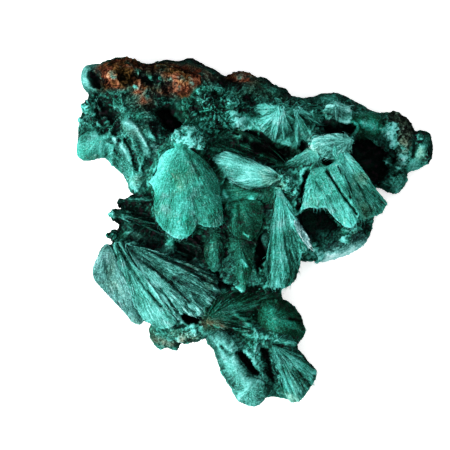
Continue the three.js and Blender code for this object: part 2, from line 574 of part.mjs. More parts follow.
// Small knobs and coarse grains of the druse and crust: [x, y, height of the top, radius].
const knobs = [
  [-15, 22.75, 36, 2.3], [-18, 22.5, 34.5, 1.3], [-12.75, 21.25, 34, 1.5], [-17, 24.25, 33, 1.4],
  [-39.75, 30.5, 22, 1.8], [-36.5, 31.5, 24, 1.5], [-41, 26.5, 19, 1.6], [-38, 27, 22.5, 1.5],
  [-3.25, 27, 27.5, 1.6], [-5, 31.5, 27.5, 1.6], [-11, 32, 27.5, 1.8], [-13.5, 29, 26.5, 1.4],
  [35.25, 24.75, 20.5, 2], [36.25, 21.5, 18, 1.4], [34.5, 17.5, 13, 1.4], [38.5, 18.5, 17, 1.3],
  [8, 13, 31, 1.6], [10.75, 10, 30.5, 1.7], [11.75, 7.5, 27, 1.4], [16, 21.75, 32.5, 1.5],
  [24, 22.25, 33, 1.7], [26, 1, 15, 1.5], [24, -1.5, 15.5, 1.4], [15.5, -4.5, 15, 1.8],
  [17, -6.5, 12, 1.5], [-34.25, 3.75, 19, 1], [-34.25, -1.5, 17.5, 1.3], [-8, -23.75, 18.5, 1.4],
  [-14, -24.75, 17, 1.3], [-17.5, -26.75, 15, 1.3],
  [-3.5, -14, 18, 1.4], [1, -6, 20.5, 1], [42, 22.5, 17, 1.5], [44, 18.5, 15.5, 1.6],
];

// Low uneven swells of the weathered body at a place.
function swell(x, y) {
  const turn = (2 * Math.PI) / swellSpacing;
  const heights = swellWaves.map(([runX, runY, sway, pace]) =>
    Math.sin(turn * (runX * x + runY * y) + sway * Math.sin(pace * (x + y))),
  );
  return (swellHeight * (heights[0] + heights[1])) / 2;
}

// The point of the root line from a to b that lies nearest to p in plan.
function nearestOnRoot(root, p) {
  const [a, b] = [root[0], root[root.length - 1]];
  const along = new THREE.Vector2(b[0] - a[0], b[1] - a[1]);
  if (along.lengthSq() === 0) return a;
  const reach = new THREE.Vector2(p[0] - a[0], p[1] - a[1]);
  const share = THREE.MathUtils.clamp(reach.dot(along) / along.lengthSq(), 0, 1);
  return a.map((value, axis) => THREE.MathUtils.lerp(value, b[axis], share));
}

// A closed lobe. Rings of points run from the root out to the rim on top and back under it.
// bulge sets how domed the fibres are, arch lifts their middle, and pleat folds every other fibre down.
function lobe(form) {
  const { root, outline, foot, edge, bulge = 2, arch = 0, pleat = 0 } = form;
  const { swelling = 0, footing = 0, rings = [0.5, 1] } = form;
  const plan = new THREE.Shape(outline.map(([x, y]) => new THREE.Vector2(x, y)));
  const rim = THREE.ShapeUtils.isClockWise(plan.getPoints()) ? [...outline].reverse() : outline;
  const count = rim.length;
  const starts = rim.map((p) => nearestOnRoot(root, p));
  const points = [];

  const ring = (share, heightAt) =>
    rim.forEach((p, i) => {
      const [x, y] = [0, 1].map((axis) => THREE.MathUtils.lerp(starts[i][axis], p[axis], share));
      points.push(x, y, heightAt(starts[i], p, i, x, y));
    });
  const topHeight = (share) => (start, p, i, x, y) => {
    const fold = i % 2 ? -pleat * share : 0;
    const lift = 4 * arch * share * (1 - share);
    return p[2] + (start[2] - p[2]) * (1 - share ** bulge) + lift + fold + swelling * swell(x, y);
  };
  const end = root[root.length - 1];
  const middle = root[0].map((value, axis) => (value + end[axis]) / 2);
  points.push(middle[0], middle[1], middle[2] + swelling * swell(middle[0], middle[1]));
  const shares = root.length > 1 ? [lineRing, ...rings] : rings;
  shares.forEach((share) => ring(share, topHeight(share)));
  ring(1, (start, p) => p[2] - edge);
  if (footing > 0) ring(footing, () => foot);
  points.push(middle[0], middle[1], foot);

  const rows = shares.length + (footing > 0 ? 2 : 1);
  const last = rows * count + 1;
  const at = (row, i) => 1 + row * count + (i % count);
  const faces = [];
  for (let i = 0; i < count; i++) {
    faces.push(0, at(0, i), at(0, i + 1));
    for (let row = 0; row < rows - 1; row++) {
      faces.push(at(row, i), at(row + 1, i), at(row + 1, i + 1));
      faces.push(at(row, i), at(row + 1, i + 1), at(row, i + 1));
    }
    faces.push(at(rows - 1, i), last, at(rows - 1, i + 1));
  }
  return closedGeometry(points, faces);
}

// A small knob: a faceted cone with a blunt top, sunk into what carries it.
function knob([x, y, top, radius]) {
  const outline = [];
  for (let i = 0; i < knobFacets; i++) {
    const turn = (2 * Math.PI * i) / knobFacets + x;
    const reach = radius * (1 + knobUnevenness * Math.sin(3 * turn + y));
    outline.push([x + reach * Math.cos(turn), y + reach * Math.sin(turn), top - radius]);
  }
  const foot = top - knobDepth * radius;
  return lobe({ root: [[x, y, top]], outline, foot, edge: radius, bulge: knobBulge, rings: knobRings });
}

function closedGeometry(points, faces) {
  const geometry = new THREE.BufferGeometry();
  geometry.setAttribute("position", new THREE.Float32BufferAttribute(points, 3));
  geometry.setIndex(faces);
  return geometry;
}

const wasm = await Module();
wasm.setup();

function solidFrom(geometry) {
  return new wasm.Manifold(
    new wasm.Mesh({
      numProp: 3,
      vertProperties: geometry.getAttribute("position").array,
      triVerts: new Uint32Array(geometry.index.array),
    }),
  );
}

// Everything grown together, cut flat at the back. Pockets sealed inside the mineral are left solid.
function specimenSolid() {
  const masses = Object.values(bodyMasses).map((mass) =>
    lobe({ ...mass, foot: buriedDepth, footing: massFooting, edge: massEdge, swelling: 1 }),
  );
  const groups = [
    westForms, northForms, tuftForms, eastForms, centreForms,
    rightFans, middlePlates, darkBlades, southWestForms, tongueForms,
  ];
  const forms = groups.flatMap(Object.values).map((form) => lobe({ edge: fanEdge, ...form }));
  const solids = [...masses, ...forms, ...knobs.map(knob)].map(solidFrom);
  const grown = solids.reduce((whole, piece) => whole.add(piece));

  const ground = new THREE.BoxGeometry(groundWidth, groundWidth, groundDepth);
  ground.translate(0, 0, restLevel - groundDepth / 2);
  const block = solidFrom(weldedBox(ground));
  const bodies = grown.subtract(block).decompose();
  return bodies.reduce((largest, body) => (body.volume() > largest.volume() ? body : largest));
}

// A box geometry with its corners shared, as a closed solid needs.
function weldedBox(box) {
  const corners = [];
  const { array } = box.getAttribute("position");
  const index = [...box.index.array].map((vertex) => {
    const corner = [...array.slice(3 * vertex, 3 * vertex + 3)];
    const known = corners.findIndex((other) => other.every((value, axis) => value === corner[axis]));
    return known >= 0 ? known : corners.push(corner) - 1;
  });
  return closedGeometry(corners.flat(), index);
}

function meshFrom(name, solid, material) {
  const { vertProperties, triVerts } = solid.getMesh();
  const geometry = closedGeometry(vertProperties, [...triVerts]);
  geometry.computeVertexNormals();
  const mesh = new THREE.Mesh(geometry, material);
  mesh.name = name;
  return mesh;
}

const malachite = new THREE.MeshStandardMaterial({
  color: specimenColour,
  roughness: 0.7,
  metalness: 0,
  flatShading: true,
});

const specimen = new THREE.Group();
specimen.add(meshFrom("malachite_specimen", specimenSolid(), malachite));

export default specimen;
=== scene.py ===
import math

import bpy
import numpy as np
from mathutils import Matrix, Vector
from mathutils.kdtree import KDTree


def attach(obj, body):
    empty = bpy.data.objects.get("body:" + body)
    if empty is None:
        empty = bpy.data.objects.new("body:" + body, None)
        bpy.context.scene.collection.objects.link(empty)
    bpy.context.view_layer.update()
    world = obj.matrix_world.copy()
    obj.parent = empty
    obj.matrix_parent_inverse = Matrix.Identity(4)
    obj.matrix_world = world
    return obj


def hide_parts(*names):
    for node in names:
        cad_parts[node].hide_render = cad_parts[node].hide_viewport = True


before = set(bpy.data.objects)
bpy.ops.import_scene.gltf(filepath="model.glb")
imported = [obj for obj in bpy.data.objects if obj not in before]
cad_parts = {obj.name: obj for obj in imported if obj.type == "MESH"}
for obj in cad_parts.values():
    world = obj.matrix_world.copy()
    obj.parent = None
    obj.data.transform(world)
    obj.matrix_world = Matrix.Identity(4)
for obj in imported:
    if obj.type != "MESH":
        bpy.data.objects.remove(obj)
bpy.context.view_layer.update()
print("frame loaded")

mm = 0.001

# Shared steps of the mesh work, in millimetres.
grain = {
    "fan": (0.17, 0.34),    # between neighbouring fibres along a rim, and between points along a fibre
    "rock": (0.5, 0.6), "base": (0.8, 1.4),
    "mostSpokes": 640, "fewestSpokes": 12, "mostRings": 72, "fewestRings": 8,
    "curveParts": 12,       # short straight parts between two points of an outline
    "wallStep": 0.5,
    "rockCell": 0.28,       # cell of the welded rock skin
    "meltPasses": 9,
    # The crisp values scale a painted highlight on crests and a painted shade in hollows.
    "fanCrisp": 0.55, "rockCrisp": 0.8, "groundCrisp": 1.0,    # how much crests and hollows differ in tone
}

scatter = {
    "factors": (374761393, 668265263, 1274126177, 961748927),    # for x, y, z and the seed
    "stirs": ((13, 1103515245), (16, 2654435761)), "mask": 0xFFFFFFFF,
}


def hashed(ix, iy, iz, seed):
    # a repeatable value from -1 to 1 for every lattice point
    h = sum(part * factor for part, factor in zip((ix, iy, iz, seed), scatter["factors"])) & scatter["mask"]
    for shift, factor in scatter["stirs"]:
        h = ((h ^ (h >> shift)) * factor) & scatter["mask"]
    return ((h >> 8) & 0xFFFF) / 32767.5 - 1.0


def noise(x, y, z, seed=0):
    # smooth value noise, one unit per cell
    x, y, z = np.broadcast_arrays(x, y, z)
    cell = [np.floor(c).astype(np.int64) for c in (x, y, z)]
    part = [c - f for c, f in zip((x, y, z), cell)]
    part = [t * t * (3 - 2 * t) for t in part]
    total = 0.0
    for dx in (0, 1):
        wx = part[0] if dx else 1 - part[0]
        for dy in (0, 1):
            wy = part[1] if dy else 1 - part[1]
            for dz in (0, 1):
                wz = part[2] if dz else 1 - part[2]
                total = total + wx * wy * wz * hashed(cell[0] + dx, cell[1] + dy, cell[2] + dz, seed)
    return total


def rockNoise(x, y, z, size, seed):
    # noise on axes turned away from the lattice, so no rows show
    c, s = math.cos(0.7 + seed), math.sin(0.7 + seed)
    x, y = c * x - s * y, s * x + c * y
    c, s = math.cos(0.5 + 1.7 * seed), math.sin(0.5 + 1.7 * seed)
    y, z = c * y - s * z, s * y + c * z
    return noise(x / size, y / size, z / size, seed)


def crystals(x, y, z, size, seed):
    # jittered cells: a value from -1 to 1 for each, and how deep inside its cell a point lies
    place = np.stack([x, y, z], 1) / size
    home = np.floor(place).astype(np.int64)
    first, second, value = np.full(len(x), 9.0), np.full(len(x), 9.0), np.zeros(len(x))
    for k in range(27):
        cell = home + (k // 9 - 1, k // 3 % 3 - 1, k % 3 - 1)
        centre = [cell[:, axis] + 0.5 + 0.5 * hashed(*cell.T, seed + axis) for axis in range(3)]
        away = np.sqrt(sum((centre[axis] - place[:, axis]) ** 2 for axis in range(3)))
        closer = away < first
        second = np.where(closer, first, np.minimum(second, away))
        value = np.where(closer, hashed(*cell.T, seed + 3), value)
        first = np.where(closer, away, first)
    return value, second - first


def smooth(low, high, t):
    t = np.clip((t - low) / (high - low), 0, 1)
    return t * t * (3 - 2 * t)


def closedCurve(points, step):
    # a smooth closed line through the points, cut into equal steps
    p, parts = np.array(points, float), grain["curveParts"]
    before, after, further = np.roll(p, 1, 0), np.roll(p, -1, 0), np.roll(p, -2, 0)
    t = np.linspace(0, 1, parts, endpoint=False)[:, None, None]
    fine = 0.5 * (2 * p + (after - before) * t + (2 * before - 5 * p + 4 * after - further) * t ** 2
                  + (3 * p - before - 3 * after + further) * t ** 3)
    fine = fine.transpose(1, 0, 2).reshape(len(p) * parts, -1)
    fine = np.vstack([fine, fine[:1]])
    length = np.concatenate([[0], np.cumsum(np.linalg.norm(np.diff(fine[:, :2], axis=0), axis=1))])
    spokes = int(min(grain["mostSpokes"], max(grain["fewestSpokes"], round(length[-1] / step))))
    at = np.linspace(0, length[-1], spokes, endpoint=False)
    return np.stack([np.interp(at, length, fine[:, k]) for k in range(fine.shape[1])], 1), at


# A lobe has a root point or line and an outline, each point as x, y, z in mm and tone, and these values
# where its form gives none.
usual = {
    "tone": 0.5, "bulge": 2, "arch": 0, "sway": 0.5, "ragged": 0.25, "pleat": 0, "foldStep": 2.4,
    "ledge": 0.0, "edgeTone": 0, "footing": 0, "silk": 1.0, "fadeTo": 3.0,
    "rough": 0, "rib": 0.25, "ribTone": 0.08, "velvet": 0.1,
    "green": 0, "crust": 0, "druse": 0, "lilac": 0, "pit": 0,
}
surfaceMarks = ("rough", "rib", "ribTone", "green", "crust", "druse", "lilac", "pit", "velvet")

# Fibres on a lobe: lengths in mm, and shares of the way from the root (0) to the rim (1).
fibreRun = {
    "leastReach": 0.6, "pointStart": 0.02, "lineStart": 0.06,
    "bundle": 0.5, "bundleShift": 0.6, "shiftSize": 1.1,
    "uneven": 0.8, "unevenStep": 1.37, "waves": 0.6, "waveSize": 1.8,
    "bend": 0.5, "bendSize": (3.5, 5), "drift": 0.6, "driftSize": (4, 5),
    "foldLength": 16, "foldHeight": 1.6, "foldLevel": 0.35, "creaseGain": 2.5, "swaySize": 6,
    "ledges": ((1.3, 0.35, 1.15), (2.1, 0.5, 1.3)),    # broken strands: width, shortest and longest share
    # below the break of a ledge the tone is darker, a painted shadow; the lip just before it is paler
    "ledgeShadow": 0.07, "ledgeLip": 0.1,
    "swell": 0.15,    # how far the edge stands out
    "backRows": 9, "footRows": 5, "hole": 0.03,
    # painted shade: darker tone in the creases of the folds, under each lobe and at its foot
    "creaseTone": 0.22, "backTone": 0.6, "footTone": 0.1,
}


def withTone(places, tone):
    return np.array([list(place) + [tone] * (4 - len(place)) for place in places], float)


def rootPlaces(root, rim):
    # where each fibre starts: the root point, or the nearest place on the root line
    a, b = root[0], root[-1]
    if len(root) == 1:
        return np.tile(a, (len(rim), 1))
    line = b[:2] - a[:2]
    return a + (b - a) * np.clip(((rim[:, :2] - a[:2]) @ line) / (line @ line), 0, 1)[:, None]


def driftAt(run, across, along, seed):
    # how far fibres wander to the side
    wide, tall = run["driftSize"]
    return run["drift"] * noise(across / wide, along / tall, 1.0, seed + 11)


def raggedRim(across, seed):
    # fibre bundles of uneven length
    run = fibreRun
    shift = run["bundleShift"] * noise(across / run["shiftSize"], 0, 0, seed)
    bundles = np.floor(across / run["bundle"] + shift)
    return (run["uneven"] * noise(bundles * run["unevenStep"], 0.5, 0.5, seed + 3)
            + run["waves"] * noise(across / run["waveSize"], 4.0, 0, seed + 5))


def topRows(form, seed, start, rim, away, across, outward, share):
    # the fibres on top of a lobe: places, tones, and how far each point lies in a crease
    run, pleat = fibreRun, form["pleat"]
    bend = (run["bend"] * noise(across / run["bendSize"][0], outward / run["bendSize"][1], 2.2, seed + 9)
            * smooth(0, 0.4, share) * smooth(1, 0.75, share))
    x = start[:, 0] + (rim[:, 0] - start[:, 0]) * share - away[:, 1] * bend
    y = start[:, 1] + (rim[:, 1] - start[:, 1]) * share + away[:, 0] * bend
    z = (rim[:, 2] + (start[:, 2] - rim[:, 2]) * (1 - share ** form["bulge"])
         + 4 * form["arch"] * share * (1 - share))
    tone = start[:, 3] + (rim[:, 3] - start[:, 3]) * share
    drift = across + driftAt(run, across, outward, seed)
    folds = np.abs(noise(drift / form["foldStep"], outward / run["foldLength"], 0.2, seed))
    wide = smooth(0.0, 0.35, share)
    z = (z + run["foldHeight"] * pleat * (folds - run["foldLevel"]) * wide
         + form["sway"] * noise(x / run["swaySize"], y / run["swaySize"], 0.3, seed + 12) * wide)
    crease = (1 - smooth(0.02, 0.3, folds)) * wide * min(1, run["creaseGain"] * pleat)
    for layer, (step, low, high) in enumerate(run["ledges"]):    # bundles that broke off short
        strand = np.floor(drift / step + 0.35 * noise(outward / 1.5, across / 3, 5.0, seed + 20 + layer))
        broken = low + (high - low) * (0.5 + 0.5 * hashed(strand.astype(np.int64), 3, layer, seed + 21))
        beyond = smooth(broken - 0.03, broken + 0.03, share)
        z = z - form["ledge"] * beyond
        lip = run["ledgeLip"] * smooth(broken - 0.2, broken - 0.02, share) * (1 - beyond)
        # painted shadow below the break, paler lip before it
        tone = tone - run["ledgeShadow"] * beyond + lip * (form["ledge"] > 0)
    return x, y, z, tone, crease


def underRows(form, rimLow, count):
    # shares of the way back to the root under a lobe, and the heights there
    foot, footing, hole = form["foot"], form["footing"], fibreRun["hole"]
    if not footing:
        back = np.linspace(1, hole, fibreRun["backRows"])[1:, None]
        return back, foot + (rimLow - foot) * back
    rows = fibreRun["footRows"]
    fall = np.linspace(1, 0, rows)[1:, None]
    back = np.vstack([footing + (1 - footing) * fall, np.linspace(footing, hole, rows)[1:, None]])
    return back, np.vstack([foot + (rimLow - foot) * fall, np.full((rows - 1, count), foot)])


def ringFaces(rows, count):
    # quads between neighbouring rings, and triangles around the first and the last point
    i = np.arange(count)
    j = (i + 1) % count
    first = 1 + np.arange(rows - 1)[:, None] * count
    quads = np.stack([first + i, first + count + i, first + count + j, first + j], -1).reshape(-1, 4)
    last = 1 + (rows - 1) * count
    tris = [np.stack([0 * i, 1 + i, 1 + j], 1), np.stack([last + i, 0 * i + last + count, last + j], 1)]
    return quads, np.vstack(tris)


def lobeArrays(form, seed, steps):
    # rings of points from the root out to the rim on top, down the edge and back under it
    form, run = {**usual, **form}, fibreRun
    root, outline = withTone(form["root"], form["tone"]), withTone(form["outline"], form["tone"])
    after = np.roll(outline, -1, 0)
    if np.sum(outline[:, 0] * after[:, 1] - after[:, 0] * outline[:, 1]) < 0:
        outline = outline[::-1]
    rim, across = closedCurve(outline, steps[0])
    start = rootPlaces(root, rim)
    reach = np.linalg.norm(rim[:, :2] - start[:, :2], axis=1)
    away = (rim[:, :2] - start[:, :2]) / np.maximum(reach, run["leastReach"])[:, None]
    rim[:, :2] += away * (form["ragged"] * raggedRim(across, seed))[:, None]
    rings = round(np.percentile(reach, 90) / steps[1])
    rings = int(min(grain["mostRings"], max(grain["fewestRings"], rings)))
    share = np.linspace(run["lineStart"] if len(root) > 1 else run["pointStart"], 1, rings)[:, None]
    outward = reach * share
    x, y, z, tone, crease = topRows(form, seed, start, rim, away, across, outward, share)

    edge, foot = form["edge"], form["foot"]
    down = np.linspace(0, 1, max(2, round(edge / grain["wallStep"])) + 1)[1:, None]
    out = run["swell"] * np.sin(np.pi * down)
    wall = x[-1] + away[:, 0] * out, y[-1] + away[:, 1] * out, z[-1] - edge * down
    back, underZ = underRows(form, wall[2][-1], len(rim))
    under = [start[:, k] + (rim[:, k] - start[:, k]) * back for k in (0, 1)] + [underZ]
    grid = np.stack([np.vstack(parts) for parts in zip((x, y, z), wall, under)], -1)
    rows, count = grid.shape[:2]
    # painted shade in the creases of the folds and on the underside of the lobe
    toneRows = np.vstack([tone - run["creaseTone"] * crease, rim[:, 3] + form["edgeTone"] + 0 * down,
                          run["backTone"] * rim[:, 3] + 0 * back])
    alongRows = np.vstack([outward, reach + edge * down, reach + edge + (1 - back) * reach])
    middle = (root[0][:3] + root[-1][:3]) / 2
    points = np.vstack([[middle], grid.reshape(-1, 3), [[middle[0], middle[1], foot]]])

    def ends(values, first=0, last=0):
        return np.concatenate([[first], values.ravel(), [last]])

    fields = {key: np.full(len(points), float(form[key])) for key in surfaceMarks}
    fields["tone"] = ends(toneRows, root[0][3], run["footTone"])
    fields["across"] = ends(np.tile(across + 50 * (seed % 17), (rows, 1)))    # so no two lobes match
    fields["along"] = ends(alongRows)
    fields["fade"] = ends(form["silk"] * smooth(0.4, form["fadeTo"], alongRows))
    fields["fibreX"], fields["fibreY"] = (ends(np.tile(away[:, k], (rows, 1))) for k in (0, 1))
    return points, *ringFaces(rows, count), fields


def addObject(name, data):
    obj = bpy.data.objects.new(name, data)
    bpy.context.collection.objects.link(obj)
    return obj


def makeObject(name, points, quads, tris):
    mesh = bpy.data.meshes.new(name)
    mesh.vertices.add(len(points))
    mesh.vertices.foreach_set("co", (points * mm).ravel())
    loops = np.concatenate([quads.ravel(), tris.ravel()])
    starts = np.concatenate([np.arange(len(quads)) * 4, len(quads) * 4 + np.arange(len(tris)) * 3])
    mesh.loops.add(len(loops))
    mesh.loops.foreach_set("vertex_index", loops)
    mesh.polygons.add(len(starts))
    mesh.polygons.foreach_set("loop_start", starts)
    mesh.update(calc_edges=True)
    return addObject(name, mesh)


def bakedMesh(name, obj):
    # the mesh that the modifiers of an object make; the object itself is taken away
    mesh = bpy.data.meshes.new_from_object(obj.evaluated_get(bpy.context.evaluated_depsgraph_get()))
    mesh.name = name
    bpy.data.objects.remove(obj)
    return mesh


def readVectors(collection, key, kind=float):
    values = np.empty(len(collection) * 3, np.float32)
    collection.foreach_get(key, values)
    return values.reshape(-1, 3).astype(kind)


def readEdges(mesh):
    edges = np.empty(len(mesh.edges) * 2, np.int32)
    mesh.edges.foreach_get("vertices", edges)
    return edges.reshape(-1, 2)


def readField(obj, key):
    values = np.empty(len(obj.data.vertices), np.float32)
    obj.data.attributes[key].data.foreach_get("value", values)
    return values


def setField(mesh, key, values):
    mesh.attributes.new(key, "FLOAT", "POINT").data.foreach_set("value", values.astype(np.float32))


def movePoints(mesh, points):
    # puts the vertices in place and gives back their new normals
    mesh.vertices.foreach_set("co", (points * mm).astype(np.float32).ravel())
    mesh.update()
    return readVectors(mesh.vertices, "normal")


def gatherLobes(name, shapes, seed, steps):
    points, quads, tris, fields, base = [], [], [], [], 0
    for k, form in enumerate(shapes):
        p, q, t, f = lobeArrays(form, seed + 37 * k, steps)
        points.append(p)
        quads.append(q + base)
        tris.append(t + base)
        fields.append(f)
        base += len(p)
    points = np.vstack(points)
    points[:, 2] = np.maximum(points[:, 2], 0)
    fields = {key: np.concatenate([f[key] for f in fields]) for key in fields[0]}
    return makeObject(name, points, np.vstack(quads), np.vstack(tris)), points, fields


def eased(values, edges, passes):
    # every value moves to the mean of its neighbours
    count = len(values)
    degree = np.maximum(np.bincount(edges.ravel(), minlength=count), 1)
    for step in range(passes):
        total = np.bincount(edges[:, 0], values[edges[:, 1]], count)
        total = total + np.bincount(edges[:, 1], values[edges[:, 0]], count)
        values = 0.3 * values + 0.7 * total / degree
    return values


def weldedRock(name, shapes, seed):
    # lumps melted into one skin of even cells that takes its marks from the nearest lump
    obj, source, fields = gatherLobes(name + "Lumps", shapes, seed, grain["rock"])
    weld = obj.modifiers.new("weld", "REMESH")
    weld.mode = "VOXEL"
    weld.voxel_size = grain["rockCell"] * mm
    weld.use_smooth_shade = True
    mesh = bakedMesh(name, obj)
    skin = addObject(name, mesh)

    tree = KDTree(len(source))
    for index, place in enumerate(source):
        tree.insert(place, index)
    tree.balance()
    points = readVectors(mesh.vertices, "co") / mm
    edges = readEdges(mesh)
    nearest = np.array([tree.find(place)[1] for place in points])
    fields = {key: values[nearest] for key, values in fields.items()}
    for key in fields:
        if key not in ("across", "along"):
            fields[key] = eased(fields[key], edges, grain["meltPasses"])
    for axis in range(3):
        points[:, axis] = eased(points[:, axis], edges, grain["meltPasses"])
    return skin, points, fields


drawing = {"facing": 1.6, "margin": 3, "wander": 0.45, "wanderSize": 1.6}


def applyStrokes(points, normals, fields, lines):
    # ridges and grooves drawn as lines in plan: width, rise, change of tone, and brown crust where given; the
    # tone is a painted shade in grooves and partly a painted highlight on ridges
    facing = np.clip(drawing["facing"] * normals[:, 2], 0, 1)
    for line, width, rise, tone, crust in lines:
        line = np.array(line, float)
        low, high = line.min(0) - drawing["margin"] * width, line.max(0) + drawing["margin"] * width
        near = np.flatnonzero(np.all((points[:, :2] > low) & (points[:, :2] < high), axis=1) & (facing > 0))
        spot = points[near, :2]
        nearest = np.full(len(near), 1e9)
        for a, b in zip(line[:-1], line[1:]) if len(line) > 1 else ((line[0], line[0]),):
            share = np.clip(((spot - a) @ (b - a)) / max((b - a) @ (b - a), 1e-9), 0, 1)[:, None]
            nearest = np.minimum(nearest, np.linalg.norm(spot - a - (b - a) * share, axis=1))
        wander = rockNoise(spot[:, 0], spot[:, 1], 0 * nearest, drawing["wanderSize"], 5)
        wander = 1 + drawing["wander"] * wander
        strength = np.exp(-(nearest / (width * wander)) ** 2) * facing[near]
        points[near, 2] += rise * strength
        fields["tone"][near] += tone * strength
        fields["crust"][near] = np.clip(fields["crust"][near] + crust * strength, 0, 1)


weathering = {
    # size of the features, height, and how far they lean from round lumps (0) to sharp ridges (1)
    "waves": ((4.6, 0.7, 0.3), (2.1, 0.9, 0.7), (1.0, 0.85, 0.8), (0.55, 0.5, 0.5)),
    "warpSize": 2.7, "warp": 0.8,
    # width and length of the cords and the hairs of the fibres, and what the two add in height and in tone
    "drift": 0.5, "driftSize": (4, 5), "cords": (0.95, 9), "hairs": (0.4, 3.5), "cordLevel": 0.3,
    "relief": (0.7, 0.3), "shades": (1.6, 0.5),
    # crystals: size across the fibres, how much they are drawn out along them, height
    "facets": ((1.7, 2.6, 0.45), (0.8, 2.0, 0.2)), "facetTone": 0.26, "creaseTone": 0.12, "leastRough": 0.05,
    # pit shade is a painted shade in the pits; crest and ridge tones on the next line paint highlights on
    # what stands out and shade in hollows
    "velvetSize": 0.34, "pitSize": 2.3, "pitDepth": 1.7, "pitShade": 0.25, "ground": 0.12,
    "nearPasses": 3, "farPasses": 14, "crestTone": 1.3, "ridgeTone": 0.3,
    "patchSize": 3.4, "patchTone": 0.12, "crustTone": 0.02, "footTone": 0.16, "footHeights": (13, 6),
    # painted light: how much paler the walls are that face the key lamp, to the left and front
    "worn": 0.08,
}


def fibrePattern(across, along, seed):
    # cords and hairs that run along the fibres
    drift = across + driftAt(weathering, across, along, seed)
    (cordWidth, cordLength), (hairWidth, hairLength) = weathering["cords"], weathering["hairs"]
    cords = np.abs(noise(drift / cordWidth, along / cordLength, 0.4, seed + 1)) - weathering["cordLevel"]
    return cords, noise(drift / hairWidth, along / hairLength, 0.7, seed + 2)


def crestsOf(points, normals, edges):
    # how far each point stands out from its near and from its wider surroundings
    crest, ridge = 0.0, 0.0
    for axis in range(3):
        near = eased(points[:, axis], edges, weathering["nearPasses"])
        far = eased(near, edges, weathering["farPasses"])
        crest = crest + (points[:, axis] - near) * normals[:, axis]
        ridge = ridge + (points[:, axis] - far) * normals[:, axis]
    return np.clip(crest, -0.15, 0.15), np.clip(ridge, -0.5, 0.5)


reliefMarks = ("rib", "ribTone", "rough", "pit", "velvet")


def weather(obj, points, fields, seed, lines, crisp):
    # fibres, lumps, crystals and pits raised along the normals, and the tone that goes with them, with a
    # painted highlight on crests and ridges, a painted shade in hollows and pits, and painted light on walls
    # that face the key lamp
    mesh, work = obj.data, weathering
    edges = readEdges(mesh)
    normals = movePoints(mesh, points)
    if lines:
        applyStrokes(points, normals, fields, lines)
        normals = movePoints(mesh, points)
    x, y, z = points.T
    across, along, fade = (fields.pop(key) for key in ("across", "along", "fade"))
    rib, ribTone, rough, pit, velvet = (fields.pop(key) for key in reliefMarks)
    cords, hairs = fibrePattern(across, along, seed)
    raised = rib * fade * (work["relief"][0] * cords + work["relief"][1] * hairs)
    lean = [work["warp"] * rockNoise(x, y, z, work["warpSize"], seed + 40 + k) for k in range(3)]
    for k, (size, height, sharp) in enumerate(work["waves"]):
        wave = np.abs(rockNoise(x + lean[0], y + lean[1], z + lean[2], size, seed + 50 + k))
        wave = (1 - sharp) * 2 * (wave - 0.3) + sharp * 1.6 * ((1 - wave) ** 3 - 0.4)
        raised = raised + rough * height * wave
    facetTone, grit = 0, rough ** 2 / 0.3
    for k, (size, drawn, height) in enumerate(work["facets"] if rough.max() > work["leastRough"] else ()):
        value, inner = crystals(across + 0.4 * lean[0], (along + 0.8 * lean[1]) / drawn, 0.35 * z, size,
                                seed + 90 + 5 * k)
        raised = raised + grit * height * (0.7 * value + 0.8 * np.minimum(inner, 0.3))
        facetTone = facetTone + grit * (work["facetTone"] * value
                                        - work["creaseTone"] * (1 - smooth(0, 0.16, inner)))
    raised = raised + velvet * rockNoise(x, y, z, work["velvetSize"], seed + 60)
    hollow = smooth(0.1, 0.55, rockNoise(x + lean[1], y + lean[2], z, work["pitSize"], seed + 61))
    raised = raised - pit * work["pitDepth"] * hollow
    points = points + normals * raised[:, None]
    points[:, 2] = np.where(points[:, 2] < work["ground"], 0, points[:, 2])

    crest, ridge = crestsOf(points, normals, edges)
    patch = rockNoise(x, y, z, work["patchSize"], seed + 70)
    upright = 1 - np.abs(normals[:, 2])
    fibreTone = ribTone * fade * (work["shades"][0] * cords + work["shades"][1] * hairs)
    fields["tone"] = (fields["tone"] + fibreTone
                      # painted highlight on crests and ridges, painted shade in hollows and pits
                      + crisp * work["crestTone"] * crest + facetTone * (1 - 0.6 * fields["crust"])
                      + crisp * work["ridgeTone"] * ridge - work["pitShade"] * pit * hollow
                      + work["patchTone"] * patch - work["crustTone"] * fields["crust"]
                      + work["footTone"] * smooth(*work["footHeights"], points[:, 2]) * upright
                      # painted light: walls that face the key lamp get a paler tone
                      + work["worn"] * (-0.8 * normals[:, 0] - 0.6 * normals[:, 1]) * upright)
    movePoints(mesh, points)
    mesh.polygons.foreach_set("use_smooth", np.ones(len(mesh.polygons), bool))
    for key, values in {**fields, "acrossFibre": across, "alongFibre": along, "streak": fade}.items():
        setField(mesh, key, values)
    print(obj.name, "faces", len(mesh.polygons))
    return obj


def buildFans(name, shapes, seed):
    return weather(*gatherLobes(name, shapes, seed, grain["fan"]), seed, strokes.get(name), grain["fanCrisp"])


def buildRock(name, shapes, seed):
    return weather(*weldedRock(name, shapes, seed), seed, strokes.get(name), grain["rockCrisp"])


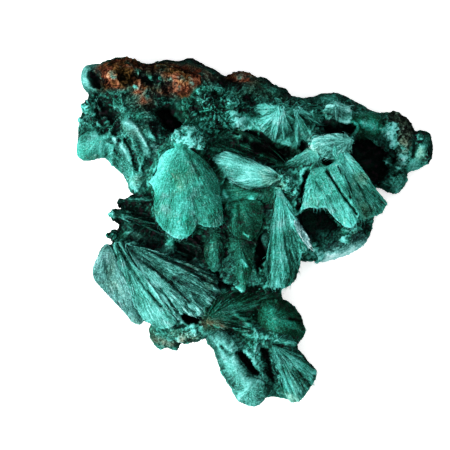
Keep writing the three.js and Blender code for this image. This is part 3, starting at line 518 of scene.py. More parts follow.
# Lumps under the fans, and the plain ground of the whole piece.
bodies = {
    "west": {"root": [(-31, 29, 27, 0.4)], "tone": 0.3, "outline": [
        (-40, 34.5, 14, 0.5), (-38.75, 40, 14, 0.5), (-35.75, 42.25, 14, 0.25), (-32.5, 43, 14, 0.15),
        (-29.25, 42.5, 14, 0.12), (-26, 41.25, 15, 0.12), (-22.5, 42, 15, 0.12), (-18.75, 41, 16, 0.1),
        (-16, 37, 17, 0.1), (-18.5, 33.5, 18, 0.1), (-22.5, 32.5, 20, 0.15), (-23, 28.75, 18, 0.1),
        (-22, 23.75, 18, 0.1), (-20.5, 20.5, 18, 0.1), (-22.5, 17, 16, 0.15), (-24.5, 13.5, 14, 0.2),
        (-26.5, 10.5, 12, 0.35), (-28.25, 9.25, 11, 0.5), (-30, 10, 11, 0.6), (-31, 13, 12, 0.6),
        (-33.5, 16, 12, 0.6), (-36.5, 18.5, 13, 0.6), (-40, 17.75, 12, 0.6), (-42.75, 19, 12, 0.6),
        (-43, 23, 13, 0.55), (-42.25, 28, 13, 0.5), (-40.5, 32.5, 14, 0.5)]},
    "north": {"root": [(-6, 31, 24, 0.46)], "tone": 0.17, "outline": [
        (-21.5, 40.5, 13), (-18, 41.75, 12), (-14.25, 42.25, 12), (-11.5, 41, 13), (-8.25, 39.25, 13),
        (-5.5, 38.25, 12), (-2.25, 39, 13), (1.25, 38, 14), (4, 37.5, 14), (6.25, 36, 14), (9.25, 34.75, 14),
        (11.5, 31.25, 16), (11.5, 26.25, 15), (8.75, 22.5, 14), (2.5, 22, 14), (-3.75, 23, 16),
        (-10, 22.5, 18), (-13.5, 24.5, 18), (-15.5, 28, 17), (-16.5, 31.5, 18), (-19.5, 33, 19),
        (-21.75, 36.25, 18)]},
    "east": {"root": [(20, 29, 20.5, 0.62)], "tone": 0.34, "outline": [
        (8.75, 33, 14), (12.5, 33, 13), (15.5, 32.75, 12), (18, 33.75, 12), (21.75, 33.75, 12),
        (25, 32.75, 12), (28.5, 30.75, 12), (32, 29.25, 12), (35.25, 29.25, 11), (38.25, 28.25, 10),
        (40.25, 26.5, 10), (41.25, 24.5, 10), (41, 20, 10, 0.3), (38.5, 16.25, 9, 0.3), (37, 20, 10, 0.05),
        (35, 23.25, 12, 0.05), (31.25, 23.5, 13), (27, 24.5, 13), (23.75, 21.5, 12, 0.05),
        (17.5, 20, 14, 0.05), (12.5, 20, 14, 0.05), (9.5, 25, 14)]},
    "base": {"root": [(-6, 14, 8)], "tone": 0.15, "outline": [
        (-36, 36, 5), (-22, 38, 5), (-6, 36, 5), (12, 33, 5), (27, 32, 5), (40, 22, 5), (34, 13, 5),
        (22, 2, 5), (8, -11, 5), (6, -16, 5), (7, -24, 5), (-4, -26, 5), (-16, -21, 5), (-33, -10, 5),
        (-29, 4, 5), (-30, 14, 5), (-40, 22, 5)]},
    "caveSide": {"root": [(-23, 31, 24.5, 0.3)], "tone": 0.2, "outline": [
        (-27, 34, 16), (-21, 34.5, 17), (-16.5, 32.5, 16), (-17.5, 30, 14), (-22, 29.5, 14),
        (-26.5, 29, 15)]},
    "westSaddle": {"root": [(-15, 20, 15)], "tone": 0.06, "outline": [
        (-24.5, 30, 9), (-16, 32, 9), (-7, 28, 13), (-4, 18, 15), (-13, 9, 15), (-23, 10, 13),
        (-26, 19, 12)]},
    "eastSaddle": {"root": [(13, 18, 10)], "tone": 0.05, "outline": [
        (2, 24, 9), (14, 27, 9), (24, 24, 7), (25, 13, 7), (16, 7, 9), (5, 8, 10), (-2, 16, 10)]},
    "bladeBack": {"root": [(-25, 1.5, 12)], "tone": 0.03, "outline": [
        (-31.5, 7, 9), (-27, 9, 10), (-22, 9.5, 11), (-15, 4, 12), (-12, -4, 12), (-14, -8.5, 11),
        (-22, -7.5, 10), (-30, -4.5, 9), (-33, -2, 8), (-32.5, 2.5, 8)]},
    "caveFloor": {"root": [(29, 17, 6)], "tone": 0.04, "outline": [
        (23.75, 25, 5), (36.25, 23.75, 6), (38, 18.75, 6), (38, 12.5, 5), (35, 10.75, 4), (31.5, 11, 4),
        (27.5, 12, 5), (20, 14, 5)]},
    "middle": {"root": [(-1, -4, 18.5, 0.4)], "tone": 0.2, "rough": 0.2, "outline": [
        (-18.75, 11.25, 15), (-12.5, 20, 18), (-5, 20.5, 17), (5, 18.5, 15), (12.5, 16.25, 14),
        (18.75, 12.5, 12), (21.25, 6, 10), (18.75, -1.25, 9), (13, -5.75, 9), (11, -10, 9, 0.3),
        (8, -14.75, 9, 0.3), (8, -17.75, 9), (6.25, -22.5, 9), (-2.5, -25, 10), (-10, -23.75, 10),
        (-13.75, -17.5, 12), (-17.5, -10, 12), (-23.5, -3.75, 11), (-27, 2.5, 10), (-24, 7.5, 12)]},
    "southWest": {"root": [(-23, -14, 15, 0.3)], "tone": 0.45, "outline": [
        (-34, -3.5, 11, 0.2), (-28.75, -2, 12, 0.1), (-21.25, -5, 12, 0.1), (-13.75, -8, 12, 0.1),
        (-8.75, -13.75, 11, 0.15), (-9, -20, 11, 0.15), (-9.5, -25.75, 9, 0.5), (-12.5, -27.5, 8, 0.5),
        (-16.5, -27.25, 8), (-18.75, -29, 8), (-21.75, -29, 8), (-24, -27.25, 8), (-25, -23, 8, 0.35),
        (-29, -22.75, 8), (-32, -19.25, 8, 0.5), (-37, -14, 9, 0.5), (-38.5, -10.25, 9, 0.5),
        (-37.75, -7, 10, 0.5), (-36, -4.75, 10, 0.4)]},
    "tongue": {"root": [(1, -31, 18.5, 0.5)], "tone": 0.5, "outline": [
        (-10.75, -26.5, 11, 0.6), (-6.25, -20.5, 12, 0.2), (2.5, -17.5, 12, 0.2), (9.5, -18.5, 10, 0.2),
        (12.5, -22.5, 9, 0.25), (12.75, -27, 9, 0.4), (11.5, -29.5, 9, 0.2), (14, -32.75, 9, 0.2),
        (16, -35.5, 9, 0.35), (14.25, -39.75, 8, 0.3), (11.5, -42.5, 8), (8.5, -42.25, 8),
        (4.5, -41.75, 9, 0.4), (1.75, -43.5, 9, 0.65), (-1.25, -43, 9, 0.65), (-3.5, -41, 9, 0.58),
        (-5.5, -38.25, 9, 0.4), (-7.25, -35.25, 9, 0.4), (-8.25, -31.5, 9, 0.45)]},
    "eastShelf": {"root": [(22, 3, 12, 0.3)], "tone": 0.26, "outline": [
        (10, 3.75, 10), (12.5, 9, 11), (20, 13, 12), (28, 10.5, 12), (30.5, 5, 11), (30.25, -0.5, 9, 0.2),
        (28, -3.75, 8, 0.45), (24.75, -5.75, 8, 0.75), (21.5, -6.75, 8, 0.8), (16.5, -7.5, 8, 0.65),
        (12.25, -7.25, 8, 0.45), (11.25, -2.5, 9, 0.2)]},
}
bodyLook = {"foot": -4, "footing": 0.8, "edge": 5, "bulge": 2, "rough": 0.34, "rib": 0.3, "ribTone": 0.12,
            "silk": 0.6, "ragged": 0.15}

# Lumps and ridges of the rocks. Each root and outline point is x, y, z and tone.
westForms = {
    "pointedWedge": {"root": [(-30.5, 27, 28, 0.45)], "foot": 12, "edge": 3, "bulge": 1.6, "rough": 0.2,
        "druse": 0.4, "pit": 0.2, "rib": 0.35, "silk": 0.9, "outline": [
        (-34.5, 25.5, 24, 0.35), (-34.25, 22.5, 23, 0.5), (-32.75, 18.75, 21, 0.4), (-31.5, 15.5, 19, 0.45),
        (-30.75, 12.5, 17, 0.6), (-29.75, 9.75, 16, 0.8), (-28.25, 8.75, 16, 0.85), (-27, 10, 17, 0.7),
        (-25.5, 12, 18, 0.5), (-24.5, 15.5, 20, 0.45), (-22.5, 18, 22, 0.6), (-19.75, 20.5, 24, 0.45),
        (-20, 23.5, 24, 0.35), (-22.5, 26.5, 25, 0.4), (-25, 29.5, 26, 0.35), (-29, 30.5, 27, 0.35),
        (-33, 29, 25, 0.4)]},
    "lowerLobe": {"root": [(-37.5, 22.75, 22.5, 0.6)], "foot": 8, "edge": 6, "bulge": 1.8, "rough": 0.12,
        "outline": [
        (-38.5, 24.5, 22, 0.5), (-42, 23.5, 19.5, 0.55), (-43.2, 21, 18, 0.65), (-43.1, 18.75, 17, 0.7),
        (-41.5, 17.35, 16.5, 0.7), (-39.5, 17.6, 16.5, 0.75), (-37.75, 18.1, 16.5, 0.7),
        (-36.25, 18.5, 17, 0.75), (-35, 20.5, 18, 0.65), (-34.5, 23, 21, 0.5)]},
    "brightBlade": {"root": [(-35, 22, 22, 0.7)], "foot": 8, "edge": 2, "bulge": 1.2, "outline": [
        (-36.25, 21.75, 20, 0.7), (-36.5, 19, 15, 0.85), (-35.5, 17.5, 13, 0.85), (-34.25, 16, 12, 0.85),
        (-32.75, 15, 12, 0.9), (-31.5, 14.25, 13, 0.85), (-32.25, 17.5, 17, 0.6), (-33.5, 20.75, 21, 0.5)]},
    "smoothBulge": {"root": [(-29.75, 26, 28.8, 0.62)], "foot": 20, "edge": 1.5, "bulge": 2, "lilac": 0.35,
        "rough": 0.1, "outline": [
        (-33, 28, 26, 0.6), (-30.5, 28.75, 26, 0.5), (-28, 27.5, 27, 0.5), (-26.75, 25, 26, 0.5),
        (-28, 23, 26, 0.55), (-31, 24, 26, 0.6)]},
    "westRidge": {"root": [(-33, 22.25, 25.2, 0.72), (-30.5, 19.5, 24.2, 0.68)], "foot": 15, "edge": 1.5,
        "bulge": 1.4, "lilac": 0.3, "rough": 0.12, "outline": [
        (-34.25, 23, 24, 0.7), (-32.75, 23.25, 24, 0.7), (-31, 21.5, 23.5, 0.5), (-29.75, 19.5, 23, 0.5),
        (-29, 16, 21.5, 0.6), (-30.5, 16.5, 21, 0.6), (-32, 19, 22, 0.5), (-33.5, 21, 23, 0.6)]},
    "middleRidge": {"root": [(-28, 25, 28, 0.62), (-25.5, 20, 26, 0.66)], "foot": 16, "edge": 1.5,
        "bulge": 1.4, "lilac": 0.3, "rough": 0.12, "outline": [
        (-29, 26, 27, 0.6), (-27.5, 26, 27, 0.5), (-25.75, 23, 26.5, 0.5), (-24.25, 20, 25, 0.5),
        (-24.5, 17.75, 24, 0.6), (-26, 18.5, 24, 0.5), (-27.25, 21.5, 25.5, 0.5), (-28.75, 24, 26.5, 0.5)]},
    "northWestKnob": {"root": [(-40, 38, 21, 0.6)], "foot": 6, "edge": 4, "bulge": 2, "rough": 0.16,
        "druse": 0.1, "lilac": 0.3, "outline": [
        (-42, 38.5, 16, 0.7), (-41.5, 40.5, 16, 0.68), (-39, 41.25, 16, 0.55), (-37, 41.25, 17, 0.4),
        (-36.5, 38.75, 19, 0.1), (-37, 35.5, 18, 0.2), (-38.75, 33.75, 17, 0.5), (-40.75, 34.75, 16, 0.66),
        (-41.75, 36.5, 16, 0.7)]},
    "crustRidge": {"root": [(-33.5, 38, 26, 0.4), (-17, 36.5, 25, 0.4)], "foot": 12, "edge": 3, "bulge": 2,
        "rough": 0.46, "crust": 1, "pit": 0.3, "outline": [
        (-37, 39, 21, 0.35), (-35.5, 41.5, 18, 0.3), (-32.5, 42.5, 17, 0.25), (-29.25, 42.25, 17, 0.2),
        (-26, 40.75, 18, 0.25), (-22, 41, 18, 0.25), (-17, 40, 19, 0.2), (-13, 38.5, 19, 0.25),
        (-12, 35.5, 21, 0.3), (-15, 33.5, 22, 0.35), (-19, 33.75, 23, 0.35), (-23.5, 33, 23, 0.3),
        (-27, 30.5, 24, 0.3), (-31, 31, 24, 0.35), (-33, 34, 23, 0.3), (-36.5, 35.5, 22, 0.3)]},
    "topSwell": {"root": [(-15.5, 41, 17, 0.12)], "foot": 6, "edge": 3, "bulge": 2, "rough": 0.15,
        "outline": [
        (-23, 41.75, 13, 0.15), (-21.25, 42.75, 12, 0.15), (-18, 42.25, 11, 0.1), (-14.5, 43, 11, 0.08),
        (-11.75, 41.5, 12, 0.08), (-9, 40.25, 12, 0.08), (-7, 38.75, 13, 0.1), (-11.25, 39, 17, 0.15),
        (-16.25, 39.75, 18, 0.2), (-20.5, 40.25, 17, 0.25)]},
}

northForms = {
    "roughMass": {"root": [(-8.75, 29.5, 27, 0.22)], "foot": 14, "edge": 2.5, "bulge": 1.6, "rough": 0.5,
        "druse": 0.5, "green": 0.4, "pit": 0.4, "outline": [
        (-16.25, 33.5, 22, 0.4), (-12.5, 35.5, 22, 0.36), (-7.5, 35, 22, 0.28), (-3.5, 33, 23, 0.28),
        (-0.5, 29.5, 23, 0.45), (0.25, 25.5, 22, 0.45), (-3.5, 25, 24, 0.42), (-9, 24, 25, 0.28),
        (-13, 24, 25, 0.4), (-15.5, 27, 22, 0.3), (-16.75, 30.5, 22, 0.36)]},
    "rimKnob": {"root": [(-3, 37.5, 18, 0.35)], "foot": 8, "edge": 3, "bulge": 2, "rough": 0.4, "crust": 0.7,
        "outline": [
        (-5.75, 38.5, 13, 0.2), (-2.25, 39.5, 13, 0.3), (0.5, 38.5, 14, 0.25), (1, 36, 17, 0.3),
        (-2, 35, 18, 0.3), (-5, 36, 17, 0.3)]},
    "northEastSwell": {"root": [(5.5, 35, 19, 0.3)], "foot": 8, "edge": 3, "bulge": 2, "rough": 0.2,
        "outline": [
        (1.25, 36.5, 17, 0.25), (2, 38.25, 14, 0.2), (4.25, 38, 12, 0.08), (6.25, 36.25, 11, 0.06),
        (9, 35.25, 11, 0.08), (9.5, 33.25, 12, 0.1), (7, 32.5, 17, 0.2), (3.75, 34, 19, 0.35)]},
    "eastSwell": {"root": [(20, 32.5, 18, 0.5)], "foot": 6, "edge": 3, "bulge": 2, "rough": 0.2, "outline": [
        (13.25, 33, 13, 0.2), (15.75, 33.25, 12, 0.22), (18.75, 34.25, 11, 0.24), (22.75, 34, 11, 0.26),
        (25.5, 32.5, 12, 0.15), (28.25, 31, 13, 0.2), (25, 30.5, 18, 0.35), (18.75, 30.75, 19, 0.4),
        (14.5, 31, 17, 0.3)]},
}

eastForms = {
    "greenLobe": {"root": [(29.5, 26, 22, 0.6)], "foot": 8, "edge": 2.5, "bulge": 2, "rough": 0.15,
        "green": 0.9, "outline": [
        (25.5, 28, 19, 0.4), (28, 29, 19, 0.45), (31.25, 28.5, 18, 0.4), (33.25, 27, 17, 0.35),
        (33.5, 25, 16, 0.35), (32, 23.25, 16, 0.4), (29, 22.75, 16, 0.45), (26.25, 24, 17, 0.3),
        (24.75, 26, 18, 0.3)]},
    "brownRidge": {"root": [(38, 24, 19, 0.25)], "foot": 6, "edge": 3, "bulge": 2, "rough": 0.4,
        "crust": 0.35, "outline": [
        (35.25, 29.5, 14, 0.2), (38, 28.75, 13, 0.2), (39.75, 27.5, 12, 0.15), (40.75, 25.5, 12, 0.15),
        (40.5, 21.25, 13, 0.3), (39.25, 16.25, 12, 0.5), (37.25, 17.5, 13, 0.5), (36.25, 21.25, 14, 0.1),
        (34.5, 25, 16, 0.3)]},
    "endKnob": {"root": [(42.5, 20.5, 17, 0.74)], "foot": 4, "edge": 3, "bulge": 2, "rough": 0.2, "outline": [
        (41.75, 24.5, 12, 0.2), (43.5, 24.75, 11, 0.12), (45, 24.25, 11, 0.12), (45.75, 22, 10, 0.12),
        (45.75, 19.5, 10, 0.1), (45, 17.5, 10, 0.2), (43.5, 16, 10, 0.7), (41.25, 15, 10, 0.75),
        (39.25, 14.75, 11, 0.6), (38, 17.5, 13, 0.6), (38.25, 21.25, 14, 0.4)]},
    "lowerKnob": {"root": [(36.5, 13.5, 14.5, 0.4)], "foot": 2, "edge": 3, "bulge": 2, "rough": 0.3,
        "outline": [
        (37.5, 16.25, 13, 0.6), (39.25, 14.5, 11, 0.5), (39.25, 12, 9, 0.4), (38, 10.25, 8, 0.4),
        (36.5, 9.25, 8, 0.5), (34.75, 10, 8, 0.5), (33.25, 10.75, 8, 0.6), (32.25, 11.5, 8, 0.6),
        (34, 13.5, 10, 0.2), (35.5, 15.75, 12, 0.5)]},
    "knot": {"root": [(9, 11.5, 30.5, 0.48)], "foot": 14, "edge": 2, "bulge": 1.6, "pleat": 0.5, "rough": 0.4,
        "druse": 0.4, "outline": [
        (6.75, 13.5, 28, 0.65), (8.5, 14.25, 28, 0.55), (10.75, 13, 28, 0.45), (12, 10.5, 26, 0.4),
        (12.75, 8, 24, 0.35), (11, 6.75, 25, 0.4), (9, 8, 27, 0.5), (7, 10.5, 28.5, 0.6)]},
    "mintRim": {"root": [(23.75, -3.5, 13, 0.26)], "foot": 2, "edge": 3, "bulge": 1.8, "rough": 0.25,
        "druse": 0.3, "lilac": 0.5, "edgeTone": 0.35, "outline": [
        (18, -5.5, 10, 0.5), (21.25, -3.5, 12, 0.3), (25, -1.5, 13, 0.25), (28, -1, 12, 0.25),
        (29.5, -2, 9, 0.5), (28, -4, 8, 0.75), (25, -6, 7, 0.9), (21.5, -7.25, 7, 0.95), (18.25, -8, 7, 0.85),
        (17, -7, 8, 0.7)]},
}

southForms = {
    "paleCrust": {"root": [(-12.5, -24.25, 16.5, 0.75)], "foot": 4, "edge": 2, "bulge": 1.8, "rough": 0.5,
        "druse": 0.6, "outline": [
        (-18.5, -26.25, 13, 0.5), (-16.75, -24, 14, 0.7), (-12.5, -23.25, 16, 0.7), (-9, -22, 17, 0.6),
        (-7.5, -23.75, 16, 0.4), (-10.5, -25.75, 15, 0.7), (-13, -27.75, 11, 0.5), (-16.5, -28, 10, 0.4)]},
    "lowerLump": {"root": [(-20.5, -26.75, 15, 0.36)], "foot": 2, "edge": 3, "bulge": 1.8, "rough": 0.3,
        "outline": [
        (-25, -24, 12, 0.34), (-22.5, -24, 14, 0.42), (-19.5, -24.5, 15, 0.5), (-16, -25, 14, 0.46),
        (-15, -27, 12, 0.4), (-17.5, -28.5, 10, 0.4), (-18.5, -30.25, 9, 0.4), (-20.75, -29.5, 9, 0.42),
        (-22.5, -30, 9, 0.42), (-24.25, -28.5, 9, 0.4), (-25, -26.25, 10, 0.4)]},
}

flankForms = {
    "leftFlank": {"root": [(-8, -28, 20.3, 0.5), (-3.5, -35.5, 19.3, 0.46)], "lilac": 0.2, "foot": 4,
        "edge": 6, "bulge": 2.2, "sway": 1.0, "outline": [
        (-11, -26, 16, 0.42), (-8, -24.7, 18.5, 0.5), (-5.2, -26.3, 20, 0.68), (-3.2, -29.3, 20, 0.6),
        (-3.3, -31.2, 19.5, 0.6), (-1.2, -34, 19, 0.5), (1, -36.6, 18.5, 0.5), (0.5, -38.5, 18, 0.42),
        (-2.5, -39.6, 17, 0.4), (-4.6, -38.9, 16, 0.38), (-6.3, -36.8, 15.5, 0.36), (-7.5, -33.8, 15.5, 0.36),
        (-8.5, -30.5, 16, 0.4)]},
    "bottomLobe": {"root": [(0, -38.3, 19, 0.68)], "foot": 3, "edge": 3, "bulge": 1.8, "lilac": 0.15,
        "outline": [
        (-3, -38.5, 16, 0.6), (-4.5, -40, 13.5, 0.56), (-3, -42.25, 12, 0.58), (-1.25, -43.75, 11.5, 0.64),
        (1.25, -44.25, 11.5, 0.66), (3.2, -43, 12.5, 0.6), (4.4, -40.75, 14.5, 0.5), (3.6, -38.5, 17, 0.5),
        (1.75, -36.9, 18.3, 0.55), (-0.75, -36.75, 18, 0.6)]},
    "darkBulge": {"root": [(5.5, -22, 19.5, 0.5)], "foot": 4, "edge": 3, "bulge": 1.8, "pleat": 0.3,
        "green": 0.9, "silk": 0.5, "outline": [
        (3, -18.25, 16, 0.3), (6.25, -17, 14, 0.25), (9, -18, 12, 0.25), (11.5, -19.75, 11, 0.28),
        (13, -22.5, 11, 0.35), (13.75, -25.5, 11, 0.55), (13, -27.5, 12, 0.5), (10, -27.8, 14, 0.42),
        (6.25, -27, 16, 0.38), (3, -25.5, 17, 0.36), (2, -22.75, 17, 0.32)]},
}

# Fans whose fibres show.
centralForms = {
    "centralFan": {"root": [(-16.5, 21.25, 34.5, 0.58)], "foot": 18, "edge": 1.8, "bulge": 1, "arch": 0.4,
        "pleat": 0.05, "foldStep": 4.2, "sway": 0.35, "rib": 0.16, "ribTone": 0.06, "ragged": 0.12,
        "velvet": 0.12, "green": 0.55, "outline": [
        (-18.25, 21.5, 33, 0.8), (-18.75, 20, 33, 0.82), (-20.25, 19.25, 32, 0.82), (-21.75, 18.5, 31, 0.84),
        (-22.5, 16.75, 30.5, 0.84), (-23, 14.75, 30, 0.83), (-23.75, 13, 29.5, 0.84), (-25, 12, 29, 0.85),
        (-24, 10.75, 28.5, 0.8), (-23.5, 9, 28, 0.74), (-23.75, 6.5, 27.5, 0.58), (-23.5, 3.75, 27, 0.56),
        (-22.5, 1.5, 26.5, 0.62), (-21, -0.25, 26, 0.66), (-19.25, -1.5, 26, 0.7), (-17.5, -2, 26, 0.72),
        (-15.75, -1.5, 26, 0.7), (-14.25, -0.5, 26, 0.66), (-13, 1.5, 26.5, 0.6), (-11.25, 1, 26, 0.62),
        (-9.25, 0.75, 25.5, 0.6), (-7.25, 1.25, 25, 0.58), (-6.75, 2.75, 25, 0.56), (-7, 5.75, 25.5, 0.54),
        (-7.5, 8.75, 26, 0.52), (-7.75, 11.25, 26.5, 0.52), (-8.75, 14, 27.5, 0.48),
        (-10.75, 16.75, 29, 0.32), (-13.25, 19.25, 31, 0.25), (-15.25, 21, 33, 0.4)]},
}

centreForms = {
    "sheaf": {"root": [(7.5, 13.25, 28, 0.75)], "foot": 16, "edge": 2, "bulge": 1.2, "arch": 2.2,
        "pleat": 0.2, "rib": 0.3, "ribTone": 0.08, "lilac": 0.12, "ragged": 0.4, "outline": [
        (7.25, 14, 27.5, 0.7), (5, 15, 27.5, 0.84), (3.25, 16, 27.5, 0.9), (1.25, 17, 27.5, 0.94),
        (-1.25, 18, 27.5, 0.9), (-3.75, 18.75, 27, 0.85), (-6, 19.5, 27, 0.8), (-8, 18.75, 27, 0.75),
        (-9.5, 17.75, 26.5, 0.85), (-9, 16.25, 26.5, 0.8), (-7.75, 14.75, 26, 0.8), (-6, 13, 26, 0.8),
        (-3.5, 11.5, 26, 0.75), (-0.5, 10.5, 26, 0.7), (3, 10.5, 26.5, 0.7), (6, 11.25, 27, 0.7),
        (7.75, 12.5, 27.5, 0.75)]},
    "sheafApron": {"root": [(4.5, 11, 24.5, 0.5)], "foot": 12, "edge": 2, "bulge": 1.3, "green": 0.7,
        "rough": 0.1, "outline": [
        (-7.75, 14.5, 25, 0.6), (-8, 11, 23.5, 0.55), (-7.5, 7.5, 22, 0.5), (-3.75, 6, 21, 0.5),
        (1.25, 6.5, 21, 0.5), (5.5, 7.5, 23, 0.45), (6.75, 11, 25, 0.5), (0, 13, 25.5, 0.6)]},
    "verticalFan": {"root": [(7, 10.5, 29.5, 0.8)], "foot": 10, "edge": 1.8, "bulge": 1.2, "arch": 0.3,
        "pleat": 0.16, "foldStep": 2.4, "rib": 0.28, "ribTone": 0.1, "ragged": 0.45, "velvet": 0.12,
        "ledge": 0.25, "green": 0.2, "outline": [
        (6, 11, 28.5, 0.7), (6, 8.25, 27.5, 0.6), (5.75, 5, 26.5, 0.5), (5.25, 1.25, 25.5, 0.45),
        (4.5, -3.25, 23.5, 0.4), (4, -8, 21.5, 0.42), (4, -11.25, 19.5, 0.45), (5, -13.25, 18.5, 0.5),
        (7.5, -14.25, 17.5, 0.6), (9.75, -14, 16.5, 0.5), (11.25, -12.5, 16.5, 0.3), (12.25, -9.5, 18, 0.32),
        (12.75, -6.5, 20.5, 0.55), (14, -4.75, 21.5, 0.7), (13.25, -2.5, 22.5, 0.7), (12.25, 0.5, 24, 0.65),
        (11, 4, 25.5, 0.55), (9.25, 7, 27, 0.5), (7.75, 10, 28.5, 0.7)]},
    "lilacFlap": {"root": [(11, 1.75, 26, 0.6)], "foot": 18, "edge": 1, "bulge": 1, "lilac": 0.9,
        "rough": 0.3, "ragged": 0.7, "outline": [
        (10.4, 2.5, 25, 0.65), (11.6, 2.3, 25, 0.65), (13.4, 0, 24.5, 0.72), (15, -3.0, 23, 0.8),
        (14.4, -4.1, 22.5, 0.8), (12.8, -2, 23.5, 0.72), (11.2, 0.5, 24.5, 0.65)]},
}

plateForms = {
    "darkFibreFan": {"root": [(9.5, 16, 26.5, 0.22)], "foot": 14, "edge": 2, "bulge": 1, "arch": 0.6,
        "pleat": 0.5, "green": 0.5, "rib": 0.4, "ribTone": 0.08, "silk": 1.0, "velvet": 0.1, "outline": [
        (8.5, 18, 25, 0.2), (5.5, 20.5, 24, 0.16), (2, 23, 23, 0.18), (-1.75, 24.5, 23, 0.22),
        (-6.25, 24.75, 23, 0.34), (-10.25, 23.25, 24, 0.44), (-12.25, 21, 25, 0.52), (-11, 18.5, 25, 0.46),
        (-8, 18, 25, 0.36), (-3.75, 17.5, 25, 0.32), (1.25, 16, 26, 0.3), (5, 14.5, 26, 0.3),
        (8.5, 14.5, 26, 0.35)]},
    "roundPlate": {"root": [(-1.75, 6.75, 23, 0.4)], "foot": 12, "edge": 2, "bulge": 1.4, "pleat": 0.12,
        "rough": 0.12, "green": 0.6, "outline": [
        (-6, 6.5, 21, 0.4), (-6.5, 3.5, 20, 0.35), (-5.25, 0.25, 20, 0.35), (-3, -2, 20, 0.3),
        (0, -2.5, 20, 0.3), (2.25, -0.5, 20, 0.25), (3.25, 3, 21, 0.25), (3, 6.5, 22, 0.3),
        (0, 7.5, 23, 0.4)]},
    "leftSlab": {"root": [(-9, -0.5, 21.5, 0.3)], "foot": 10, "edge": 2, "bulge": 1.4, "pleat": 0.16,
        "rough": 0.2, "green": 0.4, "outline": [
        (-11, 0.5, 20, 0.3), (-7, 0.5, 20, 0.25), (-6.25, -3.75, 19, 0.25), (-7, -8, 18, 0.25),
        (-9, -10.5, 17, 0.4), (-11, -8, 17, 0.45), (-11.25, -3.75, 18, 0.35)]},
    "centreSlab": {"root": [(-2.5, -3.25, 20.5, 0.3)], "foot": 8, "edge": 2, "bulge": 1.4, "pleat": 0.14,
        "rough": 0.16, "green": 0.5, "outline": [
        (-6.5, -2.5, 18, 0.35), (-2.5, -2, 20, 0.25), (1, -3, 19, 0.2), (0.75, -8, 18, 0.25),
        (-0.5, -12.5, 17, 0.45), (-1.75, -15.75, 16, 0.7), (-4, -14, 15, 0.5), (-5.75, -10, 15, 0.4),
        (-7, -6.25, 16, 0.4)]},
}

tuftForms = {
    "sunburst": {"root": [(8.25, 29.25, 27.4, 0.5)], "foot": 14, "edge": 1.8, "bulge": 1.2, "pleat": 0.9,
        "rib": 0.4, "ragged": 0.6, "foldStep": 2.2, "ledge": 0.5, "outline": [
        (4.5, 30.75, 23.5, 0.5), (6, 32.25, 22.5, 0.5), (9, 32, 22.5, 0.45), (12.5, 31, 23, 0.45),
        (16, 31, 22, 0.4), (18.75, 30, 21, 0.4), (18.25, 26.5, 20, 0.55), (17, 24.2, 19, 0.5),
        (14.75, 23.6, 19, 0.45), (13.25, 22.6, 19, 0.5), (12, 20.8, 19, 0.55), (10.25, 22, 19, 0.55),
        (8.25, 22.2, 19, 0.5), (6.5, 22.6, 19, 0.55), (4.75, 24.2, 19, 0.5), (2.75, 24.2, 19, 0.6),
        (1.95, 25.4, 19.4, 0.6), (3, 27.75, 21.4, 0.55)]},
    "paleTuft": {"root": [(21.5, 31.25, 23, 0.6)], "foot": 12, "edge": 1.8, "bulge": 1.2, "pleat": 0.6,
        "rib": 0.45, "ragged": 0.5, "outline": [
        (18, 31, 20, 0.6), (18.5, 29, 20, 0.75), (19.5, 27, 19, 0.85), (21, 26.25, 18, 0.85),
        (22, 28, 19.5, 0.7), (23.5, 26.5, 18, 0.85), (25, 26.75, 18, 0.8), (25.5, 29.5, 20, 0.6),
        (24, 31.25, 21, 0.55)]},
}

